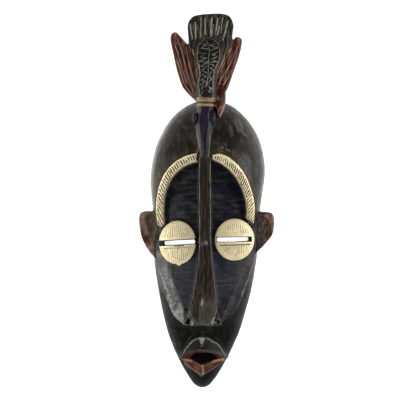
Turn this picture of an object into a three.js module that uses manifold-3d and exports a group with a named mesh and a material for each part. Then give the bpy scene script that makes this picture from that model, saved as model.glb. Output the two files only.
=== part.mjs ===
// A carved and painted wooden mask, crested with a bird whose beak runs down the forehead.
// Brass sheet covers the brows and the eyes. The mask lies on its back, on its flat rim.
// Millimetres: X to the viewer's right, Y from the chin to the bird's tail, Z out of the face.

import * as THREE from 'three';
import { mergeVertices } from 'three/addons/utils/BufferGeometryUtils.js';
import Module from 'manifold-3d';

// Length over all, from the chin to the end of the tail
const CHIN_Y = -241.5;
const TAIL_Y = 241.5;

// Head: a dome over a long tapering face
const WIDEST_Y = 35;
const HEAD_HALF_WIDTH = 74.6;
const DOME_RISE = 99.4;
const DOME_SQUARENESS = 2.2;
const HEAD_DEPTH = 66;

// Hollow behind the face, with a flat ledge at its upper end
const WALL = 12.5;
const LEDGE_Y = 112;
const HOLLOW_END_Y = -214;

// Brows: arches round the face recess, each with a brass band on its edge
const BROW_Y = -10;
const BAND_THICKNESS = 1.2;
const FIT_GAP = 0.3;
const BAND_LIP = 1.6;
const ROUNDED_END = 1.6;
const LEFT_BROW = {
  side: -1,
  edge: { halfWidth: 54.2, rise: 61.8, squareness: 2.3 },
  outer: { halfWidth: 65.5, rise: 73, squareness: 2.3 },
  nearNose: 14.8,
  outerEnd: -17,
  innerEnd: -28,
  tip: [-57.8, -33],
};
const RIGHT_BROW = {
  side: 1,
  edge: { halfWidth: 49.3, rise: 63.8, squareness: 1.82 },
  outer: { centre: 13, halfWidth: 48.3, rise: 71.8, squareness: 1.76 },
  nearNose: 5.4,
  outerEnd: -22,
  innerEnd: -18,
  tip: [60.2, -25.8],
};

// Face: a wide plate, rounded across, that ends in a step along both cheeks
const FACE_HALF_WIDTH = 90;
const LEFT_CHEEK = [[-57.3, -37], [-63.8, -62], [-60.5, -88], [-51.5, -118], [-40, -144], [-26, -155.5]];
const RIGHT_CHEEK = [[60.5, -33], [63.3, -56], [55.6, -91], [46, -122.5], [36.5, -141], [22, -150]];
const CHEEK_CREASE = { top: [57, -66], bottom: [21, -149], slope: 24, fade: 40 };

// Nose and nostrils
const NOSE_TOP_Y = 57;
const NOSE_END_Y = -153.5;
const NOSE_FLARE = 1.5;
const NOSE_FOOT = 35;
const LEFT_NOSTRIL = { apex: [-19.5, -134, 68], outer: [-27.5, -154.5, 60], inner: [-10.5, -154.5, 73] };
const RIGHT_NOSTRIL = { apex: [14.6, -133, 68], outer: [22.2, -153, 60], inner: [4.6, -154.5, 73] };
const NOSTRIL_DEPTH = 13;

// Eyes: domed oval bosses with a slit right through, covered with brass sheet
const LEFT_EYE = {
  at: [-35.9, -51.2],
  radii: [23.6, 27.1],
  tilt: -13,
  slit: { from: -53.6, to: -14.2, turn: 5, height: 5.8 },
  gap: { from: -70, to: -12.9, height: 7.4, lift: 0.4 },
};
const RIGHT_EYE = {
  at: [35.2, -45.9],
  radii: [25.3, 26],
  tilt: 13,
  slit: { from: 13.4, to: 54.4, turn: 1.8, height: 5.6 },
  gap: { from: 12.4, to: 57.6, height: 7, lift: 0.4 },
};
const EYE_EDGE = 1.6;
const EYE_CROWN = 4.6;
const EYE_PLATE = 1.2;
const BOSS_INSET = 0.8;

// Muzzle: rings from its foot on the jaw, over a sharp ridge, down into a closed mouth
const MOUTH_X = -2;
const CORNER_SHIFT = 2.2;
const MUZZLE_RINGS = [
  { half: 32.5, flat: 7, top: -164, bottom: -226, high: 33, corner: 18, low: 20 },
  { half: 30, flat: 5, top: -169, bottom: -221, high: 56, corner: 41, low: 42 },
  { half: 28.6, flat: 4.4, top: -170.6, bottom: -219.8, high: 55.8, corner: 41.2, low: 43 },
  { half: 24.5, flat: 6, top: -186, bottom: -207.6, high: 45, corner: 41.5, low: 51.5 },
  { half: 18.5, flat: 8, top: -190.8, bottom: -204.6, high: 44, corner: 42.5, low: 50.6 },
  { half: 16.5, flat: 7, top: -192.6, bottom: -203, high: 32, corner: 32, low: 32 },
];
const MOUTH_CORNER_Y = -197.6;
const PHILTRUM = { halfWidth: 4.2, topY: -169.6, bottomY: -185, high: 57, low: 46.5 };

// Ears
const LEFT_EAR = [[-62, -12.8], [-77, -12.4], [-85.3, -15.2], [-86.8, -26], [-83.6, -45], [-75, -61], [-62, -76]];
const RIGHT_EAR = [[62, -11], [75, -10.2], [84.6, -12.8], [86.8, -24], [85.2, -38], [77.5, -49.5], [62, -66]];
const EAR_BACK = 10;
const EAR_FRONT = 31.4;
const EAR_BEVEL = 1.5;
const EAR_SCOOP = { at: [73, -34], radii: [10.6, 20, 13], turn: 12 };

// Bird: collar, head and beak lie on the dome, the body stands out above it
const COLLAR_RINGS = [[132, 128.2], [124.4, 122.3]];
const COLLAR_X = -4.3;
const NECK_RADIUS = 10.6;
const COLLAR_PROUD = 1.5;
const COLLAR_ROUNDING = 0.42;
const BEAK_END_Y = 57.5;
const LEFT_LOBE = { at: [-17.8, 106, 56], radii: [4.2, 9, 7] };
const RIGHT_LOBE = { at: [4.6, 107, 56], radii: [4.4, 10.5, 7] };

// Wings and tail: slabs with long scalloped flutes between sharp ridges
const LEFT_WING = [[-10, 124], [-20.8, 132.6], [-31.4, 143], [-37, 153], [-42.4, 169], [-49.8, 199.8], [-51.2, 209],
  [-49.6, 214.6], [-45.8, 216.3], [-41.4, 214.2], [-29.8, 201.5], [-10, 182]];
const RIGHT_WING = [[6, 134], [20.6, 141.5], [28.2, 160.7], [36.6, 186.3], [40.4, 205.6], [38.8, 210.6],
  [34.6, 212.2], [30, 209.6], [22.4, 197.5], [6, 183]];
const WING_FLUTES = 5;
const TAIL = [[-12, 178], [-26, 194], [-28.6, 206], [-30.1, 222], [-26.8, 233], [-19, 238.8], [-4, 241], [14, 241.5],
  [24, 238], [29, 227], [28, 212], [25, 195], [10, 178]];
const TAIL_FLUTES = 10;
const FLUTE_DEPTH = 1.7;
const FLUTE_STEPS = 3;

// Fineness of the round forms
const HEAD_ARCH_STEPS = 24;
const HOLLOW_ARCH_STEPS = 12;
const FACE_ARCH_STEPS = 20;
const OVAL_STEPS = 28;

const wasm = await Module();
wasm.setup();

// A smooth curve through [place, value] pairs that never overshoots them.
function smooth(...pairs) {
  const secant = (i) => (pairs[i + 1][1] - pairs[i][1]) / (pairs[i + 1][0] - pairs[i][0]);
  const last = pairs.length - 1;
  const slopes = pairs.map((pair, i) => {
    if (i === 0) return secant(0);
    if (i === last) return secant(last - 1);
    const before = secant(i - 1);
    const after = secant(i);
    return before * after <= 0 ? 0 : (2 * before * after) / (before + after);
  });
  return (place) => {
    let i = 0;
    while (i < last - 1 && place > pairs[i + 1][0]) i += 1;
    const span = pairs[i + 1][0] - pairs[i][0];
    const t = THREE.MathUtils.clamp((place - pairs[i][0]) / span, 0, 1);
    const start = pairs[i][1] * (1 + 2 * t) * (1 - t) ** 2 + slopes[i] * span * t * (1 - t) ** 2;
    const end = pairs[i + 1][1] * t * t * (3 - 2 * t) + slopes[i + 1] * span * t * t * (t - 1);
    return start + end;
  };
}

// The same, for a curve that ends in a round tip at the chin: values by distance from the chin.
function roundedFromChin(...pairs) {
  const curve = smooth(...pairs.map(([distance, value]) => [Math.sqrt(distance), value]));
  return (y) => curve(Math.sqrt(Math.max(y - CHIN_Y, 0)));
}

// Steps of a number from one value to another, both included.
function steps(from, to, count) {
  return Array.from({ length: count + 1 }, (_, i) => from + ((to - from) * i) / count);
}

function signedVolume(positions, index) {
  const [a, b, c] = [new THREE.Vector3(), new THREE.Vector3(), new THREE.Vector3()];
  let total = 0;
  for (let i = 0; i < index.length; i += 3) {
    a.fromArray(positions, index[i] * 3);
    b.fromArray(positions, index[i + 1] * 3);
    c.fromArray(positions, index[i + 2] * 3);
    total += a.dot(b.cross(c));
  }
  return total;
}

// Make a closed geometry a solid that can be joined and cut, with its faces pointing out.
function solid(geometry) {
  const bare = geometry.clone();
  bare.deleteAttribute('normal');
  bare.deleteAttribute('uv');
  const merged = mergeVertices(bare, 1e-4);
  const vertProperties = Float32Array.from(merged.attributes.position.array);
  const triVerts = Uint32Array.from(merged.index.array);
  if (signedVolume(vertProperties, triVerts) < 0) triVerts.reverse();
  return new wasm.Manifold(new wasm.Mesh({ numProp: 3, vertProperties, triVerts }));
}

// The triangles that close a ring of points, in the plane that the ring faces most.
function capTriangles(ring) {
  const normal = new THREE.Vector3();
  ring.forEach((point, i) => {
    normal.add(new THREE.Vector3().crossVectors(point, ring[(i + 1) % ring.length]));
  });
  const facing = normal.toArray().map(Math.abs);
  const axis = facing.indexOf(Math.max(...facing));
  const kept = [0, 1, 2].filter((i) => i !== axis);
  const flat = ring.map((point) => new THREE.Vector2(...kept.map((i) => point.getComponent(i))));
  const sign = normal.getComponent(axis) * (axis === 1 ? -1 : 1);
  const faces = THREE.ShapeUtils.triangulateShape(flat, []);
  return sign > 0 ? faces : faces.map(([a, b, c]) => [a, c, b]);
}

// Join rings with equal numbers of points into one closed solid.
function loft(rings) {
  const count = rings[0].length;
  const index = [];
  for (let r = 0; r < rings.length - 1; r += 1) {
    for (let i = 0; i < count; i += 1) {
      const a = r * count + i;
      const b = r * count + ((i + 1) % count);
      index.push(a, b, b + count, a, b + count, a + count);
    }
  }
  capTriangles(rings[0]).forEach(([a, b, c]) => index.push(a, c, b));
  const top = (rings.length - 1) * count;
  capTriangles(rings[rings.length - 1]).forEach(([a, b, c]) => index.push(top + a, top + b, top + c));
  const geometry = new THREE.BufferGeometry().setFromPoints(rings.flat());
  geometry.setIndex(index);
  return solid(geometry);
}

// A prism on a plan outline of [x, y] points.
function prism(outline, bottom, top) {
  const shape = new THREE.Shape(outline.map(([x, y]) => new THREE.Vector2(x, y)));
  const geometry = new THREE.ExtrudeGeometry(shape, { depth: top - bottom, bevelEnabled: false });
  return solid(geometry.translate(0, 0, bottom));
}

// Points of a smooth open curve through a few plan points.
function rounded(points, count) {
  const curve = new THREE.SplineCurve(points.map(([x, y]) => new THREE.Vector2(x, y)));
  return curve.getPoints(count).map((point) => [point.x, point.y]);
}

function ellipsoid({ at, radii }, turn = 0) {
  const geometry = new THREE.SphereGeometry(1, 12, 8);
  geometry.scale(...radii);
  geometry.rotateZ(THREE.MathUtils.degToRad(turn));
  return solid(geometry.translate(...at));
}

function joined(solids) {
  return solids.reduce((all, one) => all.add(one));
}

// Head

const jawHalfWidth = roundedFromChin(
  [0, 0], [1.2, 5.2], [3.4, 9.2], [8.5, 13.6], [29, 26.6], [70.5, 45.6], [112, 57], [174, 67.2], [225, 69], [256, 72.8],
  [276.5, HEAD_HALF_WIDTH], [300, HEAD_HALF_WIDTH],
);
const jawHeight = roundedFromChin(
  [0, 0], [3.4, 11], [18.8, 25], [49.5, 35.5], [70, 39], [112, 45], [174, 56], [225, 62],
  [276.5, HEAD_DEPTH], [300, HEAD_DEPTH],
);
const headCentre = smooth([CHIN_Y, -1.2], [-190, -1.5], [-110, -0.6], [15, -0.9], [46, 0.8], [80, 1.5], [134, 1]);
const headSquareness = smooth([CHIN_Y, 2.2], [-190, 2.6], [-60, 2.8], [WIDEST_Y, 2.4], [134, 2.1]);
const faceHeight = smooth([-175, 49], [-150, 53.5], [-120, 55.5], [-80, 54], [-40, 51.5], [0, 50], [70, 49]);

function headHalfWidth(y) {
  if (y < WIDEST_Y) return jawHalfWidth(y);
  return HEAD_HALF_WIDTH * Math.sqrt(1 - ((y - WIDEST_Y) / DOME_RISE) ** 2);
}

function headHeight(y) {
  if (y < WIDEST_Y) return jawHeight(y);
  return HEAD_DEPTH * (1 - ((y - WIDEST_Y) / DOME_RISE) ** DOME_SQUARENESS) ** (1 / DOME_SQUARENESS);
}

// An arch across the mask at one place along it, down to its foot.
function arch(y, centre, halfWidth, height, squareness, count, foot = 0) {
  const ring = steps(0, Math.PI, count).map((angle) => {
    const across = Math.cos(angle);
    const x = halfWidth * Math.sign(across) * Math.abs(across) ** (2 / squareness);
    const z = height * Math.max(Math.sin(angle), 0) ** (2 / squareness);
    return new THREE.Vector3(centre + x, y, z);
  });
  if (foot > 0) {
    ring.push(new THREE.Vector3(centre - halfWidth, y, -foot));
    ring.unshift(new THREE.Vector3(centre + halfWidth, y, -foot));
  }
  return ring;
}

// Places along the head: close together at the round chin and at the top of the dome.
function headStations() {
  const chin = steps(0.5, 7.4, 8).map((root) => CHIN_Y + root * root);
  const face = steps(CHIN_Y + 70, WIDEST_Y - 14, 10);
  const dome = steps(0, 0.95, 9).map((part) => WIDEST_Y + DOME_RISE * Math.sin((part * Math.PI) / 2));
  return [...chin, ...face, ...dome, WIDEST_Y + DOME_RISE - 0.03];
}

function headSolid(grow = 0) {
  return loft(headStations().map((y) => arch(
    y, headCentre(y), headHalfWidth(y) + grow, headHeight(y) + grow, headSquareness(y), HEAD_ARCH_STEPS,
  )));
}

function hollowSolid() {
  const height = smooth(
    [HOLLOW_END_Y, 9], [-205, 14], [-190, 20], [-165, 27], [-140, 35], [-100, 40], [-50, 38], [30, 36],
    [60, 38], [90, 35], [LEDGE_Y, 27],
  );
  return loft(steps(HOLLOW_END_Y, LEDGE_Y, 12).map((y) => arch(
    y, headCentre(y), headHalfWidth(y) - WALL, height(y), 2.8, HOLLOW_ARCH_STEPS, 4,
  )));
}

// Brows and face

// Plan points along one brow line, from above the nose round to the temple.
function browLine({ halfWidth, rise, squareness, centre = 0 }, side, endY, count = 18) {
  const drop = Math.max(BROW_Y - endY, 0) / rise;
  const end = -Math.asin(drop ** (squareness / 2));
  return steps(Math.PI / 2, end, count).map((angle) => {
    const up = Math.sin(angle);
    const x = halfWidth * Math.max(Math.cos(angle), 0) ** (2 / squareness);
    return [side * (centre + x), BROW_Y + rise * Math.sign(up) * Math.abs(up) ** (2 / squareness)];
  });
}

function faceOutline() {
  return [
    ...browLine(LEFT_BROW.edge, -1, LEFT_BROW.innerEnd).slice(1),
    ...rounded(LEFT_CHEEK, 16),
    ...rounded(RIGHT_CHEEK, 16).reverse(),
    ...browLine(RIGHT_BROW.edge, 1, RIGHT_BROW.innerEnd).slice(1).reverse(),
  ];
}

function faceSurface(x, y) {
  return faceHeight(y) * Math.sqrt(1 - ((x - headCentre(y)) / FACE_HALF_WIDTH) ** 2);
}

// The wedge taken off the outer side of a cheek, along the crease that crosses it.
function cheekFacet(side) {
  const { top, bottom, slope, fade } = CHEEK_CREASE;
  const [x0, y0] = top;
  const [x1, y1] = bottom;
  const along = new THREE.Vector3(x1 - x0, y1 - y0, 0).normalize();
  const out = new THREE.Vector3(-along.y, along.x, 0);
  const section = ([x, y], height, angle) => {
    const drop = 60 * Math.tan(THREE.MathUtils.degToRad(angle));
    return [[0, height], [60, height - drop], [60, height + 40], [0, height + 40]]
      .map(([distance, z]) => new THREE.Vector3(side * (x + out.x * distance), y + out.y * distance, z));
  };
  return loft([
    section([x0 - along.x * fade, y0 - along.y * fade], faceSurface(x0, y0) + 16, 0),
    section([x0, y0], faceSurface(x0, y0) + 1, slope),
    section([x1, y1], faceSurface(x1, y1), slope),
    section([x1 + along.x * fade, y1 + along.y * fade], faceSurface(x1, y1), slope),
  ]);
}

// The head with its face: sunk below the brows, and proud of the jaw at the cheeks.
function headWithFace() {
  const rounding = loft(steps(-175, 70, 14).map((y) => arch(
    y, headCentre(y), FACE_HALF_WIDTH, faceHeight(y), 2, FACE_ARCH_STEPS,
  )));
  const outline = prism(faceOutline(), 2, 90);
  const plate = rounding.intersect(outline).subtract(cheekFacet(-1)).subtract(cheekFacet(1));
  return headSolid().subtract(outline.subtract(rounding)).add(plate);
}

function browBand(brow) {
  const { side, edge, outer, nearNose, outerEnd, innerEnd, tip } = brow;
  const inner = { ...edge, halfWidth: edge.halfWidth + BAND_LIP, rise: edge.rise + BAND_LIP };
  const past = ([x]) => Math.abs(x) > nearNose;
  const outerLine = browLine(outer, side, outerEnd, 26).filter(past);
  const innerLine = browLine(inner, side, innerEnd, 26).filter(past);
  const end = (line) => [side * nearNose, line[0][1] - (line[0][0] * side > nearNose + 5 ? ROUNDED_END : 0)];
  const outline = [end(outerLine), ...outerLine, tip, ...innerLine.reverse(), end(innerLine.slice(-1))];
  return headSolid(FIT_GAP + BAND_THICKNESS)
    .intersect(prism(outline, 10, 90))
    .subtract(headSolid(FIT_GAP));
}

// Nose

const noseCentre = smooth([NOSE_END_Y, -2.7], [-135, -2.4], [-110, -0.9], [-84, -0.8], [-50, -1.5], [0, -3], [57, -4.3]);
const noseHalf = smooth(
  [NOSE_END_Y, 6.6], [-145, 11.5], [-135, 17.2], [-125, 15.8], [-109, 13.4], [-84, 10.3], [-65, 8.1], [-50, 7.3], [57, 7.1],
);
const noseTop = smooth([NOSE_END_Y, 78], [-150, 84], [-143, 86], [-130, 84], [-100, 78], [-50, 72.5], [0, 69], [57, 67.5]);
const noseRidge = smooth([NOSE_END_Y, 2], [-135, 4], [-100, 2], [-50, 0.8], [57, 0.4]);

function noseRing(y) {
  const [centre, half, top, ridge] = [noseCentre(y), noseHalf(y), noseTop(y), noseRidge(y)];
  return [
    [-half - NOSE_FLARE, NOSE_FOOT], [-half, top - ridge], [-half / 2, top - ridge / 4], [0, top],
    [half / 2, top - ridge / 4], [half, top - ridge], [half + NOSE_FLARE, NOSE_FOOT],
  ].map(([x, z]) => new THREE.Vector3(centre + x, y, z));
}

function noseSolid() {
  const lower = steps(NOSE_END_Y, -104, 13);
  const upper = steps(-96, NOSE_TOP_Y, 10);
  return loft([...lower, ...upper].map(noseRing));
}

function nostrilCorners({ apex, outer, inner }) {
  return [apex, outer, inner].map((corner) => new THREE.Vector3(...corner));
}

function nostrilWing(nostril) {
  const corners = nostrilCorners(nostril);
  const feet = corners.map((corner) => new THREE.Vector3(corner.x, corner.y, NOSE_FOOT));
  return loft([feet, corners]);
}

function nostrilRecess(nostril) {
  const corners = nostrilCorners(nostril);
  const middle = corners.reduce((sum, corner) => sum.add(corner.clone().divideScalar(3)), new THREE.Vector3());
  const floor = middle.clone().setZ(middle.z - NOSTRIL_DEPTH);
  const mouth = corners.map((corner) => corner.clone().lerp(middle, 0.24));
  const above = mouth.map((corner) => corner.clone().addScaledVector(new THREE.Vector3(0, 0, 1), 12));
  const below = mouth.map((corner) => corner.clone().lerp(floor, 0.85));
  return loft([below, mouth, above]);
}

// Muzzle and mouth

function mouthRing({ half, flat, top, bottom, high, corner, low }) {
  const corners = [-1, 1].map((side) => new THREE.Vector3(MOUTH_X + CORNER_SHIFT + side * half, MOUTH_CORNER_Y, corner));
  const arc = (side) => {
    const from = corners[side > 0 ? 1 : 0];
    const to = new THREE.Vector3(MOUTH_X + side * flat, top, high);
    const bend = new THREE.Vector3(
      MOUTH_X + CORNER_SHIFT + side * half * 0.74, top + 0.22 * (MOUTH_CORNER_Y - top), (high + corner) / 2,
    );
    return new THREE.QuadraticBezierCurve3(from, bend, to).getPoints(6);
  };
  const chin = new THREE.Vector3(MOUTH_X - 1, bottom, low);
  const lower = (from, to) => [1 / 3, 2 / 3].map((part) => from.clone().lerp(to, part));
  return [
    ...arc(1), ...arc(-1).reverse(),
    ...lower(corners[0], chin), chin, ...lower(chin, corners[1]),
  ];
}

function philtrum() {
  const { halfWidth, topY, bottomY, high, low } = PHILTRUM;
  const section = (y, z, half) => [[-half, z - 8], [-half, z], [half, z], [half, z - 8]]
    .map(([x, height]) => new THREE.Vector3(MOUTH_X - 0.6 + x, y, height));
  return loft([section(bottomY, low, halfWidth * 0.6), section(topY, high, halfWidth)]);
}

function muzzle() {
  return loft(MUZZLE_RINGS.map(mouthRing)).add(philtrum());
}

// Ears

function ear(outline, side) {
  const shape = new THREE.Shape(rounded(outline, 16).map(([x, y]) => new THREE.Vector2(x, y)));
  const geometry = new THREE.ExtrudeGeometry(shape, {
    depth: EAR_FRONT - EAR_BACK - 2 * EAR_BEVEL,
    bevelThickness: EAR_BEVEL,
    bevelSize: EAR_BEVEL,
    bevelOffset: -EAR_BEVEL,
    bevelSegments: 1,
  });
  const scoop = ellipsoid(
    { at: [side * EAR_SCOOP.at[0], EAR_SCOOP.at[1], EAR_FRONT + 2], radii: EAR_SCOOP.radii },
    side * EAR_SCOOP.turn,
  );
  return solid(geometry.translate(0, 0, EAR_BACK + EAR_BEVEL)).subtract(scoop);
}

// Eyes

// A domed disc about its own axis, from its underside to its crown.
function dome(radius, underside, edge, crown) {
  const curve = steps(1, 0, 3).map((part) => new THREE.Vector2(radius * part, edge + (crown - edge) * (1 - part * part)));
  const profile = [new THREE.Vector2(0, underside), new THREE.Vector2(radius, underside), ...curve];
  return new THREE.LatheGeometry(profile, OVAL_STEPS).rotateX(Math.PI / 2);
}

// Put a disc of unit radius on the face as an oval, tilted to the side that it faces.
function onEye(geometry, { at: [x, y], radii, tilt }, grow = 0) {
  geometry.scale(radii[0] + grow, radii[1] + grow, 1);
  geometry.rotateY(THREE.MathUtils.degToRad(tilt));
  return solid(geometry.translate(x, y, faceSurface(x, y)));
}

function eyeBoss(eye) {
  return onEye(dome(1, -8, EYE_EDGE, EYE_CROWN), eye, -BOSS_INSET);
}

function slitBox(eye, { from, to, height, lift = 0 }) {
  const box = new THREE.BoxGeometry(to - from, height, 120);
  box.translate((from + to) / 2 - eye.at[0], lift, 0);
  box.rotateZ(THREE.MathUtils.degToRad(eye.slit.turn));
  return solid(box.translate(eye.at[0], eye.at[1], 40));
}

function eyePlate(eye) {
  const shell = onEye(dome(1, -6, EYE_EDGE + FIT_GAP + EYE_PLATE, EYE_CROWN + FIT_GAP + EYE_PLATE), eye);
  const under = onEye(dome(1, -12, EYE_EDGE + FIT_GAP, EYE_CROWN + FIT_GAP), eye, 2);
  return shell.subtract(under).subtract(slitBox(eye, eye.gap));
}

// Bird

// An arch that stands on a level inside the head.
function collarArch(y, centre, half, top, bottom) {
  return steps(0, Math.PI, 12).map((angle) => new THREE.Vector3(
    centre + half * Math.cos(angle), y, bottom + (top - bottom) * Math.max(Math.sin(angle), 0) ** COLLAR_ROUNDING,
  ));
}

function collar() {
  const top = smooth([116, 59], [126, 59.5], [140, 55]);
  const places = [[138, 0]];
  COLLAR_RINGS.forEach(([upper, lower]) => {
    places.push([upper + 0.4, 0], [upper, COLLAR_PROUD], [lower, COLLAR_PROUD], [lower - 0.4, 0]);
  });
  places.push([116, 0]);
  return loft(places.map(([y, proud]) => collarArch(y, COLLAR_X, NECK_RADIUS + proud, top(y) + proud, 26)));
}

// Head and beak: two sloping sides and a groove between them.
function beak() {
  const centre = smooth([BEAK_END_Y, -4], [91, -6.2], [112, -5.6], [124, -4.6]);
  const half = smooth([BEAK_END_Y, 5.4], [70, 6.4], [91, 9.6], [98, 11], [112, 10.8], [124, 10.2]);
  const top = smooth([BEAK_END_Y, 71.5], [75, 72], [91, 68.5], [104, 64.5], [112, 61.5], [124, 58]);
  const groove = smooth([BEAK_END_Y, 1.6], [91, 2.2], [103, 0.2], [124, 0]);
  return loft(steps(BEAK_END_Y, 124, 12).map((y) => [
    [-1, 40 - top(y)], [-1, -9], [-0.45, 0], [0, -groove(y)], [0.45, 0], [1, -9], [1, 40 - top(y)],
  ].map(([x, z]) => new THREE.Vector3(centre(y) + half(y) * x, y, top(y) + z))));
}

// The bird's back: a long narrow-waisted panel with sides that slope to the wings.
function birdBack() {
  const centre = smooth([130, -3.8], [137, -4], [150, -5.2], [160, -4], [183, -2.3], [207, -2]);
  const half = smooth([130, 9], [137, 9.2], [147, 9.9], [160, 9], [168, 10], [183, 15.2], [195, 14.7], [203, 11.4], [207, 7]);
  const top = smooth([130, 55.5], [140, 57], [165, 58.5], [185, 56.5], [200, 52], [207, 48.6]);
  const bottom = smooth([130, 14], [160, 18], [207, 30]);
  return loft(steps(130, 207, 15).map((y) => [
    [-half(y) - 3, bottom(y)], [-half(y) - 3, top(y) - 6], [-half(y), top(y) - 1.4], [-half(y) / 2, top(y) - 0.4],
    [0, top(y)],
    [half(y) / 2, top(y) - 0.4], [half(y), top(y) - 1.4], [half(y) + 3, top(y) - 6], [half(y) + 3, bottom(y)],
  ].map(([x, z]) => new THREE.Vector3(centre(y) + x, y, z))));
}

// One section of a fluted slab, from one side to the other at one place along it.
function flutedRing(y, from, to, flutes, fromTop, toTop, thickness) {
  const count = flutes * FLUTE_STEPS;
  const above = steps(0, count, count).map((i) => {
    const part = i / count;
    const scallop = FLUTE_DEPTH * Math.sin(Math.PI * ((i % FLUTE_STEPS) / FLUTE_STEPS));
    return new THREE.Vector3(from + (to - from) * part, y, fromTop + (toTop - fromTop) * part - scallop);
  });
  const under = [[to, toTop], [from, fromTop]].map(([x, z]) => new THREE.Vector3(x, y, z - thickness));
  return [...above, ...under];
}

function wing(outline, side) {
  const edge = smooth([124, 10], [133, 21], [143, 31.5], [153, 38], [172, 44.5], [200, 51], [218, 54.5]);
  const span = smooth([124, 14], [150, 29], [172, 37], [200, 46], [218, 50]);
  const inset = side > 0 ? 9 : 0;
  const slab = loft(steps(124, 218, 7).map((y) => flutedRing(
    y, side * (edge(y) + 1 - inset), side * (edge(y) + 1 - inset - span(y)), WING_FLUTES, 42 - (y - 124) * 0.03, 53, 9,
  )));
  return slab.intersect(prism(rounded(outline, 26), 10, 80));
}

function tail() {
  const half = smooth([178, 25], [TAIL_Y + 1, 31]);
  const top = smooth([178, 51], [205, 48], [TAIL_Y + 1, 40]);
  const slab = loft(steps(178, TAIL_Y + 1, 5).map((y) => flutedRing(
    y, -0.4 - half(y), -0.4 + half(y), TAIL_FLUTES, top(y), top(y), 13,
  )));
  return slab.intersect(prism(rounded(TAIL, 28), 10, 80));
}

// The lower tip of the right wing, which bends down on to the dome.
function wingTip() {
  const centre = smooth([108, 12.8], [114, 13.3], [125, 13.8], [150, 12.4]);
  const half = smooth([108, 0.8], [114, 3.2], [125, 6.6], [150, 8]);
  const top = smooth([108, 53], [116, 55.5], [128, 54.5], [140, 49], [150, 40]);
  return loft(steps(108, 150, 8).map((y) => [
    [-1, 30 - top(y)], [-1, -2], [-0.4, 0], [0.4, 0], [1, -3], [1, 30 - top(y)],
  ].map(([x, z]) => new THREE.Vector3(centre(y) + half(y) * x, y, top(y) + z))));
}

function bird() {
  return joined([
    collar(), beak(), birdBack(), tail(), wing(LEFT_WING, -1), wing(RIGHT_WING, 1), wingTip(),
    ellipsoid(LEFT_LOBE), ellipsoid(RIGHT_LOBE),
  ]);
}

// The whole carving

function carving() {
  const features = [
    noseSolid(), nostrilWing(LEFT_NOSTRIL), nostrilWing(RIGHT_NOSTRIL), muzzle(),
    ear(LEFT_EAR, -1), ear(RIGHT_EAR, 1), eyeBoss(LEFT_EYE), eyeBoss(RIGHT_EYE), bird(),
  ];
  return joined([headWithFace(), ...features])
    .subtract(nostrilRecess(LEFT_NOSTRIL))
    .subtract(nostrilRecess(RIGHT_NOSTRIL))
    .subtract(hollowSolid())
    .subtract(slitBox(LEFT_EYE, LEFT_EYE.slit))
    .subtract(slitBox(RIGHT_EYE, RIGHT_EYE.slit));
}

// Parts

const wood = { color: 0x2b2824, roughness: 0.5, metalness: 0 };
const brass = { color: 0xd8c595, roughness: 0.4, metalness: 0.8 };

function part(name, body, finish) {
  const mesh = body.getMesh();
  const geometry = new THREE.BufferGeometry();
  geometry.setAttribute('position', new THREE.BufferAttribute(mesh.vertProperties, 3));
  geometry.setIndex(new THREE.BufferAttribute(mesh.triVerts, 1));
  const made = new THREE.Mesh(geometry, new THREE.MeshStandardMaterial(finish));
  made.name = name;
  return made;
}

const mask = new THREE.Group();
mask.add(part('carved_mask', carving(), wood));
mask.add(part('left_brow_band', browBand(LEFT_BROW), brass));
mask.add(part('right_brow_band', browBand(RIGHT_BROW), brass));
const leftPlates = eyePlate(LEFT_EYE).decompose();
leftPlates.sort((a, b) => b.boundingBox().max[1] - a.boundingBox().max[1]);
mask.add(part('left_eye_upper_plate', leftPlates[0], brass));
mask.add(part('left_eye_lower_plate', leftPlates[1], brass));
mask.add(part('right_eye_plate', eyePlate(RIGHT_EYE), brass));

export default mask;
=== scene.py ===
"""A carved wooden bird mask: the carving softened, cut and painted over its solids, and its embossed brass."""

import math
from types import SimpleNamespace

import bpy
import numpy as np
from mathutils import Matrix, Vector, kdtree, noise


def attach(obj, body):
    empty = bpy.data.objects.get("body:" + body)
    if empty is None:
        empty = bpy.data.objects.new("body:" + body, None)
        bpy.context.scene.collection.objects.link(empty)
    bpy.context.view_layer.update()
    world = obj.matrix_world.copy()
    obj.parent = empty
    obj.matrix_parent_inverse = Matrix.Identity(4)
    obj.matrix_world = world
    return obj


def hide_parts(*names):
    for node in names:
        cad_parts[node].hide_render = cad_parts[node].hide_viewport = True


bl_info = {
    "name": "Bird Mask",
    "version": (1, 0, 0),
    "blender": (4, 5, 0),
    "location": "View3D > Sidebar > Bird Mask",
    "description": "Carves, paints and dresses a wooden bird mask with embossed brass",
    "category": "Object",
}

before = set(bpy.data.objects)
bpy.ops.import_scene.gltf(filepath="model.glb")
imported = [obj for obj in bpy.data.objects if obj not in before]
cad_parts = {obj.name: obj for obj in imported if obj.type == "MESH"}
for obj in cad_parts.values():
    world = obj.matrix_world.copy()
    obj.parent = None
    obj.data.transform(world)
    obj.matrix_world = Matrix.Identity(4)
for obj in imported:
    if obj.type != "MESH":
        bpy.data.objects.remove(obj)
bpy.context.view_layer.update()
MM = 0.001

# Plan lines of the carving, in millimetres. A brow line is (half width, rise, squareness, centre).

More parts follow.
